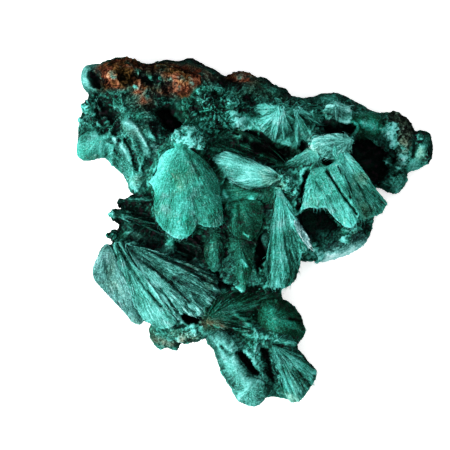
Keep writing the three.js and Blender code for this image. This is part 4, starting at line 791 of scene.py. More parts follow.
rightForms = {
    "leftWing": {"root": [(16.5, 19.5, 31.5, 0.65)], "foot": 18, "edge": 1.6, "bulge": 1, "pleat": 0.5,
        "rib": 0.45, "outline": [
        (15.25, 20.5, 30, 0.6), (12.5, 19, 28, 0.7), (9.75, 17.25, 27, 0.6), (7.75, 15.5, 26, 0.45),
        (9.75, 15, 26, 0.5), (11.75, 14.25, 26, 0.55), (13.25, 12.75, 25, 0.6), (14.5, 14.25, 27, 0.6),
        (16, 16.25, 29, 0.65), (17, 18.25, 31, 0.6)]},
    "plate": {"root": [(15.5, 14.2, 30.8, 0.55), (22, 17.2, 32, 0.5)], "green": 0.3, "foot": 16, "edge": 1.8,
        "bulge": 1, "pleat": 0.15, "foldStep": 2.8, "rib": 0.16, "ribTone": 0.05, "edgeTone": 0.1,
        "ragged": 0.3, "ledge": 0.25, "velvet": 0.12, "fadeTo": 2, "outline": [
        (14, 12.5, 29.8, 0.75), (15.3, 14.6, 30.5, 0.7), (17.6, 15.6, 31, 0.7), (19.6, 15.5, 31.2, 0.6),
        (20.8, 17, 31.8, 0.5), (21.4, 19, 32.4, 0.55), (23, 18.4, 32, 0.6), (23.4, 14, 30.8, 0.6),
        (24.75, 10, 29.5, 0.55), (26, 6.75, 28.5, 0.5), (26.75, 4.25, 28, 0.6), (25.5, 1.25, 27, 0.8),
        (23.5, 1, 27, 0.8), (21.75, 2.25, 27, 0.8), (20, 4, 27.5, 0.8), (18.5, 5.5, 27.5, 0.78),
        (16.25, 5.5, 27.5, 0.75), (14.5, 5.75, 27.5, 0.8), (12.75, 5.25, 27, 0.85), (13, 7.5, 28, 0.75),
        (13.5, 10, 29, 0.7)]},
    "longBlade": {"root": [(20.5, 20.5, 32.8, 0.78)], "foot": 14, "edge": 2, "bulge": 1, "pleat": 0.12,
        "foldStep": 2.6, "rib": 0.2, "ribTone": 0.05, "ledge": 0.15, "green": 0.25, "velvet": 0.12,
        "outline": [
        (21.25, 21.3, 32.5, 0.7), (24, 19, 31, 0.75), (26.5, 16.4, 29.8, 0.85), (29, 13.2, 28, 0.65),
        (31, 10, 26, 0.5), (33.75, 7, 23.5, 0.5), (33.25, 5.5, 23, 0.5), (31.75, 4, 23.5, 0.5),
        (29.5, 3.25, 25, 0.5), (27.25, 2.75, 26.5, 0.5), (26.3, 6, 28.3, 0.4), (24.8, 9.5, 29.3, 0.4),
        (23.4, 12.8, 30.3, 0.45), (21.8, 16, 31.5, 0.5), (20.2, 18.5, 32.3, 0.6)]},
    "paleCap": {"root": [(24.2, 21.9, 32.6, 0.6)], "foot": 12, "edge": 2, "bulge": 1, "arch": 0.3,
        "rough": 0.05, "lilac": 0.25, "rib": 0.3, "ribTone": 0.14, "ragged": 0.12, "ledge": 0.12,
        "pleat": 0.1, "fadeTo": 1.5, "outline": [
        (16.2, 18.9, 30.8, 0.55), (15, 20.6, 31, 0.7), (15.6, 22.4, 31.2, 0.78), (17.8, 23.2, 31.6, 0.8),
        (20.6, 23.7, 31.8, 0.8), (23.4, 23.4, 31.6, 0.8), (24.9, 22.2, 31.2, 0.7), (24.7, 20.2, 31, 0.62),
        (22.6, 18.4, 31.4, 0.55), (20.6, 17.6, 31.4, 0.5), (18.2, 17.8, 31.2, 0.5)]},
}

bladeForms = {
    "upper": {"root": [(-32.25, 7, 17, 0.12)], "foot": 6, "edge": 1.4, "bulge": 1, "pleat": 0.4, "rib": 0.35,
        "outline": [
        (-32.75, 7.75, 16, 0.2), (-30.75, 7.5, 16, 0.1), (-29.75, 8.75, 16, 0.2), (-27, 9.75, 16, 0.1),
        (-24.25, 10.75, 17, 0.1), (-20, 8.75, 18, 0.15), (-16.25, 3.75, 18, 0.1), (-22.5, 4, 16, 0.08),
        (-28.75, 5, 15, 0.05), (-32.5, 5.5, 15, 0.05)]},
    "middle": {"root": [(-34, 4, 18, 0.25)], "foot": 6, "edge": 1.4, "bulge": 1, "pleat": 0.5, "rib": 0.35,
        "outline": [
        (-34.75, 4.75, 17, 0.6), (-32.5, 5.25, 17, 0.3), (-26.25, 4.25, 17, 0.12), (-18.75, 1.25, 18, 0.12),
        (-13.75, -2.5, 18, 0.1), (-12.5, -5.5, 17, 0.1), (-18.75, -4, 15, 0.05), (-25, -1.5, 15, 0.05),
        (-30.5, 1, 15, 0.1), (-34, 2.25, 15, 0.2)]},
    "lower": {"root": [(-34, -1, 16, 0.15)], "foot": 5, "edge": 1.4, "bulge": 1, "pleat": 0.4, "rib": 0.35,
        "outline": [
        (-34.75, -0.25, 15, 0.2), (-32.5, 0, 16, 0.1), (-28.75, -0.5, 16, 0.1), (-22.5, -3.25, 16, 0.1),
        (-15, -6.25, 16, 0.15), (-10.5, -8, 15, 0.1), (-15, -8.5, 13, 0.05), (-22.5, -7, 13, 0.05),
        (-28.75, -4.25, 13, 0.05), (-33.25, -2.5, 13, 0.1)]},
}

rollForms = {
    "leftRoll": {"root": [(-35.3, -3.6, 19.8, 0.6)], "foot": 4, "edge": 2.4, "bulge": 1.5, "arch": 1.2,
        "pleat": 0.15, "foldStep": 3.4, "rib": 0.16, "ribTone": 0.04, "ragged": 0.12, "velvet": 0.16,
        "lilac": 0.5, "outline": [
        (-36.7, -4.2, 18, 0.72), (-38, -6.5, 16.5, 0.74), (-39.2, -9.5, 14.5, 0.74),
        (-38.9, -12.3, 13.5, 0.74), (-36.8, -14.8, 13, 0.65), (-34.3, -17.6, 12.5, 0.65),
        (-31.8, -20.3, 12.5, 0.7), (-29.8, -22.6, 12.5, 0.7), (-28, -23.6, 12.5, 0.6),
        (-26.8, -22.4, 13.5, 0.5), (-28.2, -19, 15, 0.5), (-30, -15, 16.5, 0.5), (-31.5, -11, 17.5, 0.5),
        (-32.8, -7.5, 18.5, 0.5), (-33.8, -4.2, 19.3, 0.55)]},
    "middleRoll": {"root": [(-33, -3, 21, 0.7)], "foot": 4, "edge": 2.2, "bulge": 1.2, "arch": 1.8,
        "pleat": 0.35, "foldStep": 3.4, "rib": 0.22, "ribTone": 0.06, "ragged": 0.25, "ledge": 0.2,
        "velvet": 0.15, "lilac": 0.15, "green": 0.25, "outline": [
        (-33.9, -4.2, 19.8, 0.6), (-33.1, -8, 18.6, 0.6), (-31.9, -12.5, 17.6, 0.6),
        (-29.9, -17.3, 16.5, 0.65), (-27, -22, 15, 0.7), (-25.4, -23.2, 14.5, 0.75),
        (-23.3, -24.3, 14.5, 0.8), (-21.2, -25.3, 14.5, 0.75), (-19.4, -24, 15.5, 0.8),
        (-18.6, -22.3, 16.5, 0.75), (-22, -17.6, 18, 0.7), (-25.2, -13.3, 19, 0.7), (-28.4, -9, 19.7, 0.65),
        (-30.9, -5.2, 20.3, 0.65), (-32, -2.8, 20.6, 0.7)]},
    "rightRoll": {"root": [(-31, -3.4, 21, 0.65)], "foot": 4, "edge": 2.2, "bulge": 1.2, "arch": 1.4,
        "pleat": 0.45, "foldStep": 2.9, "rib": 0.28, "ribTone": 0.1, "ragged": 0.4, "ledge": 0.35,
        "velvet": 0.15, "lilac": 0.25, "outline": [
        (-30.8, -5.4, 20.3, 0.6), (-28.5, -9, 19.5, 0.6), (-25, -13.6, 18.8, 0.62), (-21.6, -18, 17.9, 0.64),
        (-18.3, -22.2, 16.8, 0.75), (-16.8, -20.8, 17.5, 0.7), (-15, -21.3, 17.5, 0.72),
        (-13.2, -21.6, 17.5, 0.6), (-11.2, -19.8, 18, 0.5), (-9, -17, 17.5, 0.34), (-8, -13.2, 17, 0.3),
        (-10.5, -10, 17, 0.34), (-15, -8, 17, 0.3), (-21.25, -6.25, 18, 0.3), (-26.25, -4.5, 19, 0.45),
        (-29.3, -2.8, 20.3, 0.6)]},
}

tongueForms = {
    "throatFan": {"root": [(-11, -22.25, 19.5, 0.4)], "foot": 8, "edge": 2, "bulge": 1, "pleat": 0.45,
        "rib": 0.4, "green": 0.6, "ribTone": 0.12, "ledge": 0.25, "outline": [
        (-11.25, -20, 18, 0.4), (-8.75, -17, 17, 0.3), (-3.75, -15, 16, 0.15), (2, -13.75, 15, 0.1),
        (7, -15, 13, 0.15), (8, -17.5, 12.5, 0.2), (9, -18.5, 12, 0.25), (7.5, -22.5, 14, 0.25),
        (3, -25.5, 16, 0.3), (-3.75, -25, 18, 0.35), (-9.5, -24.25, 18.5, 0.4)]},
    "ribbedFan": {"root": [(5.5, -28.3, 20, 0.6)], "foot": 4, "edge": 2.5, "bulge": 1.2, "pleat": 0.35,
        "foldStep": 2.1, "rib": 0.3, "ribTone": 0.08, "ledge": 0.2, "outline": [
        (5, -29.5, 18.6, 0.55), (5.7, -32, 17.6, 0.5), (6.2, -35, 16.4, 0.45), (7, -38, 15, 0.45),
        (8.5, -40.5, 13.5, 0.6), (10, -43, 11.5, 0.7), (12.2, -43, 11, 0.65), (13.8, -41.2, 11, 0.45),
        (15.3, -38.8, 11.5, 0.35), (16.6, -36.8, 11.5, 0.5), (16.7, -35.2, 12, 0.45), (15, -33.4, 13, 0.3),
        (13, -31, 14, 0.25), (11.8, -29.6, 15, 0.3), (11.2, -28, 16, 0.35), (8.5, -27.2, 18.3, 0.5),
        (6, -27.4, 19.6, 0.55)]},
}

# Small knobs: x, y, height of the top, radius, tone, crust.
knobs = {
    "westRock": [
        (-39.75, 30.5, 22, 1.8, 0.65, 0), (-36.5, 31.5, 24, 1.5, 0.6, 0), (-41, 26.5, 19, 1.6, 0.6, 0),
        (-38, 27, 22.5, 1.5, 0.5, 0)],
    "northRock": [
        (-15, 22.75, 36, 2.3, 0.85, 0), (-18, 22.5, 34.5, 1.3, 0.75, 0), (-12.75, 21.25, 34, 1.5, 0.7, 0),
        (-17, 24.25, 33, 1.4, 0.7, 0), (-3.25, 27, 27.5, 1.6, 0.8, 0), (-5, 31.5, 27.5, 1.6, 0.4, 0),
        (-11, 32, 27.5, 1.8, 0.4, 0), (-13.5, 29, 26.5, 1.4, 0.45, 0)],
    "eastRock": [
        (35.25, 24.75, 20.5, 2, 0.85, 0), (36.25, 21.5, 18, 1.4, 0.8, 0), (34.5, 17.5, 13, 1.4, 0.7, 0),
        (38.5, 18.5, 17, 1.3, 0.8, 0), (8, 13, 30.6, 1.5, 0.5, 0), (10.75, 10, 29.8, 1.6, 0.5, 0),
        (11.75, 7.5, 26.6, 1.4, 0.42, 0), (16, 21.75, 31, 1.3, 0.6, 0), (24, 22.25, 31, 1.4, 0.6, 0),
        (26, 1, 15, 1.5, 0.6, 0), (24, -1.5, 15.5, 1.4, 0.7, 0), (15.5, -4.5, 15, 1.8, 0.7, 0),
        (17, -6.5, 12, 1.5, 0.7, 0), (42, 22.5, 17, 1.5, 0.4, 0), (44, 18.5, 15.5, 1.6, 0.3, 0)],
    "middleRock": [
        (-34.25, 3.75, 19, 1, 0.8, 0), (-34.25, -1.5, 17.5, 1.3, 0.3, 0), (-3.5, -14, 18, 1.4, 0.6, 0)],
    "southRock": [
        (-8, -23.75, 18.5, 1.4, 0.6, 0.4), (-14, -24.75, 17, 1.3, 0.7, 0), (-17.5, -26.75, 15, 1.3, 0.7, 0)],
}

# Drawn lines: points in plan, width, rise, change of tone, crust. Sunken lines get a darker tone, a painted
# shade; raised lines and spots a paler one, partly their own paler colour and partly a painted highlight or
# glint.
strokes = {
    "westRock": [
        ([(-36.4, 30.6), (-34.2, 27.4)], 2.5, -5, -0.5, 0),
        ([(-27.5, 38), (-24.5, 36.6)], 1.3, -3, -0.4, -0.5), ([(-26.6, 39), (-23.4, 37)], 1.9, 0, 0, -0.8),
        ([(-21, 29), (-19, 27.2), (-18, 25.4)], 1.8, -4, -0.35, 0),
        ([(-39, 38.6), (-37.9, 36.2)], 1.3, -3.2, -0.5, 0),
        ([(-41.6, 35), (-41.9, 38.5), (-40.5, 40.5)], 0.8, 0.8, 0.14, 0),
        ([(-21.2, 31.2), (-18, 32.4), (-14.5, 30.2)], 0.5, 0.8, 0.14, 0),
        ([(-33.9, 23), (-31, 19.6)], 0.6, 0.7, 0.12, 0), ([(-28.3, 25.6), (-25.6, 20.8)], 0.5, 0.7, 0.1, 0),
        ([(-32, 27.5), (-29, 25.8)], 1.2, 0.8, 0.11, 0),
        ([(-19.6, 21.4), (-22, 18), (-24.2, 16)], 0.45, 0.6, 0.14, 0),
        ([(-31.3, 15.6), (-29.6, 11.4), (-28.2, 9.6)], 0.8, 0.5, 0.09, 0),
        ([(-32.6, 22), (-33.6, 19), (-33, 16.6)], 0.7, -1.8, -0.35, 0),
        ([(-30.8, 22.5), (-29, 18.5), (-28, 15)], 0.6, -1.4, -0.3, 0),
        ([(-24, 26.5), (-23, 22)], 0.8, -1.2, -0.3, 0), ([(-26.2, 18.6), (-27.6, 14.6)], 0.45, 0.6, 0.16, 0),
        ([(-24.6, 24), (-22.4, 20.8)], 0.5, 0.6, 0.14, 0), ([(-22.4, 16.8), (-23.4, 14)], 1.0, -4, -0.5, 0),
        ([(-41.2, 31), (-39.4, 29)], 1.1, 0.8, 0.14, 0), ([(-29.4, 12.4), (-28.4, 9.8)], 1.4, 0.2, 0.15, 0),
        ([(-38.5, 25.8), (-36, 24.4)], 0.9, -1.5, -0.3, 0),
        ([(-37, 41), (-33, 42.4), (-29, 42.2), (-24, 41), (-19, 40.4), (-13, 39)], 1.5, 0.3, 0.12, 1),
        ([(-34.4, 38.2)], 2.1, 1.1, 0.15, 1), ([(-34.8, 40.2)], 0.9, 0.3, 0.15, 1),
        ([(-28.8, 35.8)], 1.9, 0.9, 0.2, 1), ([(-28.6, 35.4)], 0.8, 0.4, 0.25, -1.4),
        ([(-26.2, 32.3)], 1.9, 0.7, 0.2, 1), ([(-17.4, 37.2)], 2.4, 0.9, 0.1, 1),
        ([(-13.4, 37.4)], 1.5, 0.5, 0.12, 1), ([(-22.6, 38.4), (-20.6, 35.6)], 1.3, -1.6, -0.3, -0.5),
        ([(-31.8, 39.6), (-30.6, 34)], 0.9, -1.6, -0.35, 0.3)],
    "northRock": [
        ([(-15, 33.8), (-10, 35.4), (-4, 34.2)], 0.7, 0.8, 0.09, 0),
        ([(-14.2, 31.5), (-12.2, 28.6)], 1.0, -1.8, -0.4, 0),
        ([(-9.6, 33), (-6.2, 30.6), (-3, 29.6)], 0.8, -1.4, -0.35, 0),
        ([(-3.4, 27.2), (-2.6, 26.6)], 1.1, 1, 0.16, 0), ([(-7.4, 27.4), (-5.4, 25.2)], 0.8, 0.7, 0.11, 0),
        ([(-12, 25.8), (-9, 27.6)], 0.7, 0.8, 0.11, 0),
        ([(-11, 39), (-7, 38), (-3, 38.4), (0.4, 37.4)], 1.4, 0.4, 0.1, 0.9),
        ([(-1.2, 33), (2.6, 30.4)], 1.0, -1.6, -0.3, 0), ([(2.8, 33.6), (6.6, 32.2)], 1.1, 0.7, 0.11, 0),
        ([(-9, 37.2), (-4, 36.2)], 1.0, -1.4, -0.3, 0)],
    "eastRock": [
        ([(13.8, 31.6), (18, 32.6), (23.5, 32), (28, 30)], 1.5, 0.7, 0.2, 0),
        ([(27, 26.4), (31, 25.4)], 1.6, 0.9, 0.12, 0), ([(24.6, 28.6), (29, 28)], 0.8, -1.1, -0.2, 0),
        ([(18.2, 24.6), (22.6, 23.4), (25, 24.4)], 1.6, -4, -0.6, 0),
        ([(35, 25.6), (35.8, 22.4)], 1.1, 0.9, 0.16, 0),
        ([(33.2, 17.4), (35.4, 16.4), (37.6, 15.4)], 0.35, 0.3, 0.6, 0),
        ([(36.6, 19.6), (38.2, 18.4), (38.8, 16.6)], 0.4, 0.3, 0.45, 0),
        ([(41.6, 22.6), (40.8, 18.6)], 0.8, -1.4, -0.3, 0), ([(43.4, 20.6), (43.8, 17.8)], 1.2, 0.5, 0.11, 0),
        ([(33.4, 11.6), (36.6, 10.4), (38.4, 12.6)], 0.8, 0.4, 0.11, 0),
        ([(38.2, 15.4), (36.2, 13.6)], 0.8, -1.2, -0.3, 0),
        ([(18.4, -7.5), (22, -6.9), (25.4, -5.6)], 1.3, 0.5, 0.8, 0),
        ([(25.4, -5.4), (28.6, -3.2)], 0.8, 0.4, 0.4, 0), ([(14, 3.4), (20, 1.8)], 2.4, -2.4, 0, 0),
        ([(14.6, 0.8), (18.4, -0.6)], 0.7, 0.6, 0.2, 0), ([(24.4, 0.4), (25.8, -0.2)], 0.8, 0.7, 0.23, 0),
        ([(23.4, -2.2), (24.6, -2.8)], 0.8, 0.7, 0.23, 0), ([(15.6, -2.4), (17.8, -6)], 1.0, 0.6, 0.11, 0)],
    "middleRock": [
        ([(1.4, -2.4), (3, -6), (3.4, -9.8)], 1.3, -6.5, -0.6, 0),
        ([(-10.2, -9.8), (-8, -11.8)], 1.1, -3.5, -0.5, 0),
        ([(-7.6, -12.8), (-3, -15), (2, -15.4)], 1.3, -2.6, -0.4, 0),
        ([(-7, 1.5), (-6.4, -6)], 0.7, -3, -0.5, 0), ([(-8.6, 10), (-7.2, 4)], 0.8, -4, -0.5, 0),
        ([(6.4, -17.4), (9.6, -17.8)], 1.2, 0.4, 0.1, 0)],
    "southRock": [
        ([(-3.6, -21), (-1.2, -22.6), (0.9, -24.8)], 0.9, 1.5, 0.14, 0),
        ([(-0.8, -26), (5, -26.8), (10.6, -28.2)], 1.0, 1.7, 0.14, 0),
        ([(-8, -27), (-4.2, -33), (-1.4, -38)], 2.0, 1.2, 0.11, 0),
        ([(-0.9, -30.2), (1.3, -33.5), (3.8, -37.8)], 0.7, 0.9, 0.11, 0),
        ([(3.6, -41), (7.6, -41.6), (10.8, -42.2)], 0.9, 0.9, 0.11, 0),
        ([(-2.7, -30.6), (-0.6, -33.3), (1.9, -36.2)], 0.75, -5, -0.7, 0),
        ([(3.3, -29.4), (4.3, -32.4), (5.5, -36.8)], 1.15, -3.4, -0.42, 0),
        ([(10, -22.2), (13, -22.9)], 0.5, -1.4, -0.35, 0),
        ([(-16.8, -21.4), (-12.8, -21.9)], 1.4, -5, -0.6, 0),
        ([(-5.4, -24.6), (-1.4, -27.4)], 0.6, -1.4, -0.4, 0),
        ([(-11, -22.8), (-8.6, -23.5), (-7, -24)], 1.1, 0.3, 0.15, 0.6),
        ([(-24.4, -27.4), (-20, -28.8), (-14, -27)], 1.0, 0, 0, 0.5),
        ([(-7, -29), (-5, -31)], 0.6, -0.8, -0.2, 0),
        ([(5.6, -19.6), (9.6, -21.2), (11.6, -24)], 0.9, 0.6, 0.12, 0),
        ([(3.2, -27.9), (8, -28.6)], 0.6, -1.2, -0.3, 0)],
    "centralFan": [
        ([(-19.6, 18.6), (-21.4, 14.6), (-22.4, 11)], 2.2, 0, 0.12, 0),
        ([(-15.9, 20), (-14.6, 17.4), (-12.6, 13.6)], 0.6, -0.3, -0.22, 0),
        ([(-13.6, 18.4), (-10.4, 15.2)], 0.7, -0.2, -0.15, 0),
        ([(-19.2, 12), (-19.6, 6), (-19.2, 2)], 1.6, -0.12, -0.05, 0),
        ([(-13.6, 8), (-13, 1.8)], 0.6, -0.3, -0.08, 0)],
    "centreFans": [
        ([(-6.7, 9.2), (-5.9, 8.3)], 0.55, 0.5, 0.6, 0), ([(0.2, 7.8), (1.2, 7.3)], 0.5, 0.4, 0.5, 0),
        ([(-7.6, 8.2), (-7, 7.6)], 0.4, 0.3, 0.4, 0),
        ([(-6.8, 13.4), (-1.5, 10.6), (3, 9.6)], 0.5, -0.8, -0.3, 0)],
    "middlePlates": [
        ([(-1.5, -0.9), (-0.5, -1.6)], 0.45, 0.4, 0.6, 0),
        ([(-3.4, -14.2), (-2.2, -15.2)], 0.5, 0.4, 0.45, 0), ([(-1.8, -7.6), (-0.8, -9)], 0.5, 0.3, 0.4, 0),
        ([(-4.4, 4.4), (-4, 0)], 0.8, 0.3, 0.12, 0), ([(-9.8, -3), (-9, -9)], 0.7, 0.3, 0.1, 0),
        ([(-3, 6), (-2.4, 2)], 0.6, -0.5, -0.15, 0), ([(1.6, 20.6), (5, 19.6), (8.6, 18)], 1.3, -4, -0.5, 0),
        ([(-5, 22.6), (-1, 22.4)], 0.8, -2, -0.3, 0),
        ([(-9.4, 21.4), (-4, 20.6), (2, 18.6)], 0.5, -1.2, -0.25, 0),
        ([(-7, 19.6), (0, 18.4), (6, 16.2)], 0.4, -0.8, -0.2, 0)],
    "rightFans": [
        ([(18.9, 14.4), (22.5, 9), (26.2, 4)], 0.32, -1, -0.45, 0),
        ([(21.8, 15.6), (24.2, 11.4), (24.9, 8)], 0.32, -0.9, -0.4, 0),
        ([(16.4, 11.8), (19.6, 7)], 0.5, -0.3, -0.12, 0), ([(24.4, 17), (26.8, 14.6)], 0.9, 0.3, 0.09, 0),
        ([(25.4, 13.4), (28.2, 8.6), (30, 4.6)], 0.3, -0.4, -0.18, 0)],
    "darkBlades": [
        ([(-32.5, 3.2), (-25, 0.4), (-17.5, -2.9)], 0.3, 0.7, 0.19, 0),
        ([(-31.8, 3.7), (-23.4, 1.5), (-17.4, -1.7)], 0.28, 0.7, 0.2, 0),
        ([(-30.5, 4.6), (-23.8, 4.4)], 0.35, 0.6, 0.22, 0),
        ([(-31.5, 2.7), (-28.8, 0.1), (-24.1, -2.6), (-16, -6.3)], 0.3, 0.7, 0.19, 0),
        ([(-31.2, 1.0), (-26.8, -3.0), (-18, -6.9)], 0.9, -1.6, -0.3, 0),
        ([(-29.8, 7.8), (-23.4, 7.5)], 0.55, 0.9, 0.36, 0),
        ([(-32.5, 5.9), (-23.8, 6.1)], 0.8, -1.4, -0.3, 0),
        ([(-30, 2.6), (-24, -0.8), (-17, -4.4)], 0.4, -0.9, -0.2, 0),
        ([(-30.6, 2.2), (-26.5, -1.0), (-20, -4.0)], 0.25, 0.6, 0.22, 0),
        ([(-29, 4.1), (-22.8, 2.6)], 0.4, -0.8, -0.2, 0)],
    "broadFan": [
        ([(-32.4, -4.4), (-29.6, -9.4), (-26.2, -14.4), (-22.2, -19)], 0.5, -0.7, -0.25, 0),
        ([(-30.6, -4.2), (-25.4, -8.4), (-19.8, -13), (-15.2, -17.8)], 0.55, -0.8, -0.3, 0),
        ([(-29.4, -3.6), (-21.6, -6.8), (-15.2, -9.6), (-11.4, -12.4)], 0.6, -0.7, -0.25, 0),
        ([(-27.4, -7.4), (-21.6, -11), (-16.4, -15)], 1.1, -0.5, -0.14, 0),
        ([(-31.4, -12), (-29.2, -17), (-26.2, -21.4)], 0.6, 0.5, 0.12, 0),
        ([(-24.6, -13.4), (-20.8, -18.4)], 0.7, 0.5, 0.1, 0),
        ([(-14.8, -16.4), (-12.6, -20)], 0.5, 0.4, 0.1, 0),
        ([(-36.8, -6), (-35.4, -12), (-31.6, -18)], 0.5, -0.3, -0.1, 0)],
}
strokes["tongueFans"] = strokes["southRock"]    # the same lines run on over the fans

knobShape = {"corners": 9, "uneven": 0.18, "sunk": 4}
knobLook = {"bulge": 2, "rough": 0.45, "rib": 0.2, "druse": 0.4}


def knobForm(x, y, top, radius, tone, crust):
    outline = []
    for i in range(knobShape["corners"]):
        turn = 2 * math.pi * i / knobShape["corners"] + x
        reach = radius * (1 + knobShape["uneven"] * math.sin(3 * turn + y))
        outline.append((x + reach * math.cos(turn), y + reach * math.sin(turn), top - radius, tone - 0.1))
    return {"root": [(x, y, top, tone)], "outline": outline, "foot": top - knobShape["sunk"] * radius,
            "edge": radius, "crust": crust, **knobLook}


def forms(table, *names, **extra):
    return [{**extra, **table[name]} for name in (names or table)]


burstShape = {
    # outline of one blade: share of its length, and side in half widths
    "corners": ((0.0, -0.12), (0.35, -0.45), (0.75, -0.9), (0.94, -0.6), (1.0, 0.1), (0.88, 0.7), (0.7, 0.95),
                (0.35, 0.5), (0.0, 0.12)),
    "width": (0.6, 1.4), "length": (0.55, 1.04), "turn": (-8, 8), "lift": (-1.2, 0.8), "tilt": (-0.8, 0.8),
    "shift": (-0.8, 0.8), "corner": (0.9, 1.05),
    "rootTone": -0.1, "sideTone": -0.08, "tipTone": 0.26, "thickness": 5, "overlap": 0.4,
}
burstLook = {"edge": 0.9, "bulge": 1, "arch": 0.1, "rib": 0.22, "ribTone": 0.1, "pleat": 0.4, "foldStep": 1.6,
             "edgeTone": -0.2, "sway": 0.2, "ragged": 0.3, "fadeTo": 1}


def burst(hub, reaches, width, tones, drop, seed, **extra):
    # small ragged fans that spread from one hub; reaches holds (angle, length) pairs, first to last angle
    turns, lengths = zip(*reaches)
    picks = np.random.default_rng(seed)
    blades = []
    angle = turns[0]
    while angle < turns[-1]:
        wide = width * picks.uniform(*burstShape["width"])
        length = np.interp(angle, turns, lengths) * picks.uniform(*burstShape["length"])
        turn = math.radians(angle + picks.uniform(*burstShape["turn"]))
        ahead, side = np.array((math.cos(turn), math.sin(turn))), np.array((-math.sin(turn), math.cos(turn)))
        lift, tilt = picks.uniform(*burstShape["lift"]), picks.uniform(*burstShape["tilt"])
        tone = picks.uniform(*tones)
        start = hub[:2] + side * picks.uniform(*burstShape["shift"])
        outline = []
        for far, off in burstShape["corners"]:
            x, y = start + ahead * far * length * picks.uniform(*burstShape["corner"]) + side * off * wide / 2
            outline.append((x, y, hub[2] + lift - drop * far + tilt * off,
                            tone + burstShape["sideTone"] + burstShape["tipTone"] * far ** 2))
        blades.append({"root": [(*start, hub[2] + lift, tone + burstShape["rootTone"])], "outline": outline,
                       "foot": hub[2] - drop - burstShape["thickness"], **burstLook, **extra})
        angle += math.degrees(width * burstShape["overlap"] / max(2.5, 0.7 * length))
    return blades


def bodyForm(*names):
    return forms(bodies, *names, **bodyLook)


rockLook = {"rough": 0.3, "rib": 0.2, "silk": 0.6}
smoothLook = {"rough": 0.14, "rib": 0.4, "silk": 0.9, "ribTone": 0.16, "druse": 0.16, "velvet": 0.08}
plateLook = {"rib": 0.12, "ribTone": 0.05, "silk": 0.5, "velvet": 0.12}

# Rocks are lumps melted into one skin; fans keep every fibre. Each has a seed and its lobes.
rocks = {
    "westRock": (200, bodyForm("west", "caveSide", "westSaddle") + forms(westForms, **rockLook)),
    "northRock": (300, bodyForm("north") + forms(northForms, **rockLook)),
    "eastRock": (400, bodyForm("east", "eastSaddle", "caveFloor", "eastShelf")
                 + forms(eastForms, **rockLook)),
    "middleRock": (500, bodyForm("middle", "bladeBack")),
    "southRock": (600, bodyForm("southWest", "tongue") + forms(southForms, **rockLook)
                  + forms(flankForms, **smoothLook)),
}
fans = {
    "centralFan": (700, forms(centralForms)),
    "centreFans": (800, forms(centreForms)),
    "middlePlates": (850, forms(plateForms, **plateLook)),
    "sunburst": (900, forms(tuftForms, "sunburst")
                 + burst((7.5, 30.4, 28.4), ((192, 6.5), (218, 8.6), (267, 9.4), (292, 10.5)), 2.3,
                         (0.65, 0.97), 7, 41)
                 + burst((11.5, 29.8, 27), ((250, 8), (285, 11.4), (300, 8.5), (330, 8), (345, 7)), 2.2,
                         (0.65, 0.97), 6, 43)
                 + burst((16, 29.4, 25), ((235, 4.5), (330, 5.5)), 1.9, (0.5, 0.85), 4.5, 44)),
    "paleTuft": (950, forms(tuftForms, "paleTuft")
                 + burst((21.5, 31.6, 26), ((205, 4.4), (270, 5.6), (345, 4.8)), 2.1, (0.75, 1.0), 4.5, 42,
                         lilac=0.3)),
    "rightFans": (1000, forms(rightForms)),
    "darkBlades": (1100, forms(bladeForms)),
    "broadFan": (1200, forms(rollForms)),
    "tongueFans": (1300, forms(tongueForms)),
}
groundSeeds = {"base": 650, "felt": 1500}

pieces = {}
for name, (seed, shapes) in rocks.items():
    pieces[name] = buildRock(name, shapes + [knobForm(*knob) for knob in knobs.get(name, ())], seed)
pieces["base"] = weather(*gatherLobes("base", bodyForm("base"), groundSeeds["base"], grain["base"]),
                         groundSeeds["base"], None, grain["groundCrisp"])
for name, (seed, shapes) in fans.items():
    pieces[name] = buildFans(name, shapes, seed)
print("rocks and fans built")


filling = {
    "cell": 0.25, "margin": 4,                 # map cell, and how far the map reaches past the object, mm
    "level": 4, "lowest": 3,                   # lowest top of the object, and of the ground
    "bridge": 10, "tuck": 4, "rimCells": 4,    # in cells: half the width closed over, reach under the fans
    "flush": 0.5, "sink": 1.2, "easing": 6, "spread": 14,
    # gap shade and cave shade: painted shade on the felt between the fans and in the caves
    "gapShade": 0.2, "caveShade": 0.12, "caveDepth": 4,
    "look": {"fade": 0.6, "rib": 0.2, "ribTone": 0.12, "rough": 0.3, "pit": 0, "velvet": 0.12, "druse": 0.15,
             "fibreX": 0, "fibreY": 0},
}
colourMarks, fibreMarks = ("tone", "green", "crust", "lilac"), ("acrossFibre", "alongFibre")
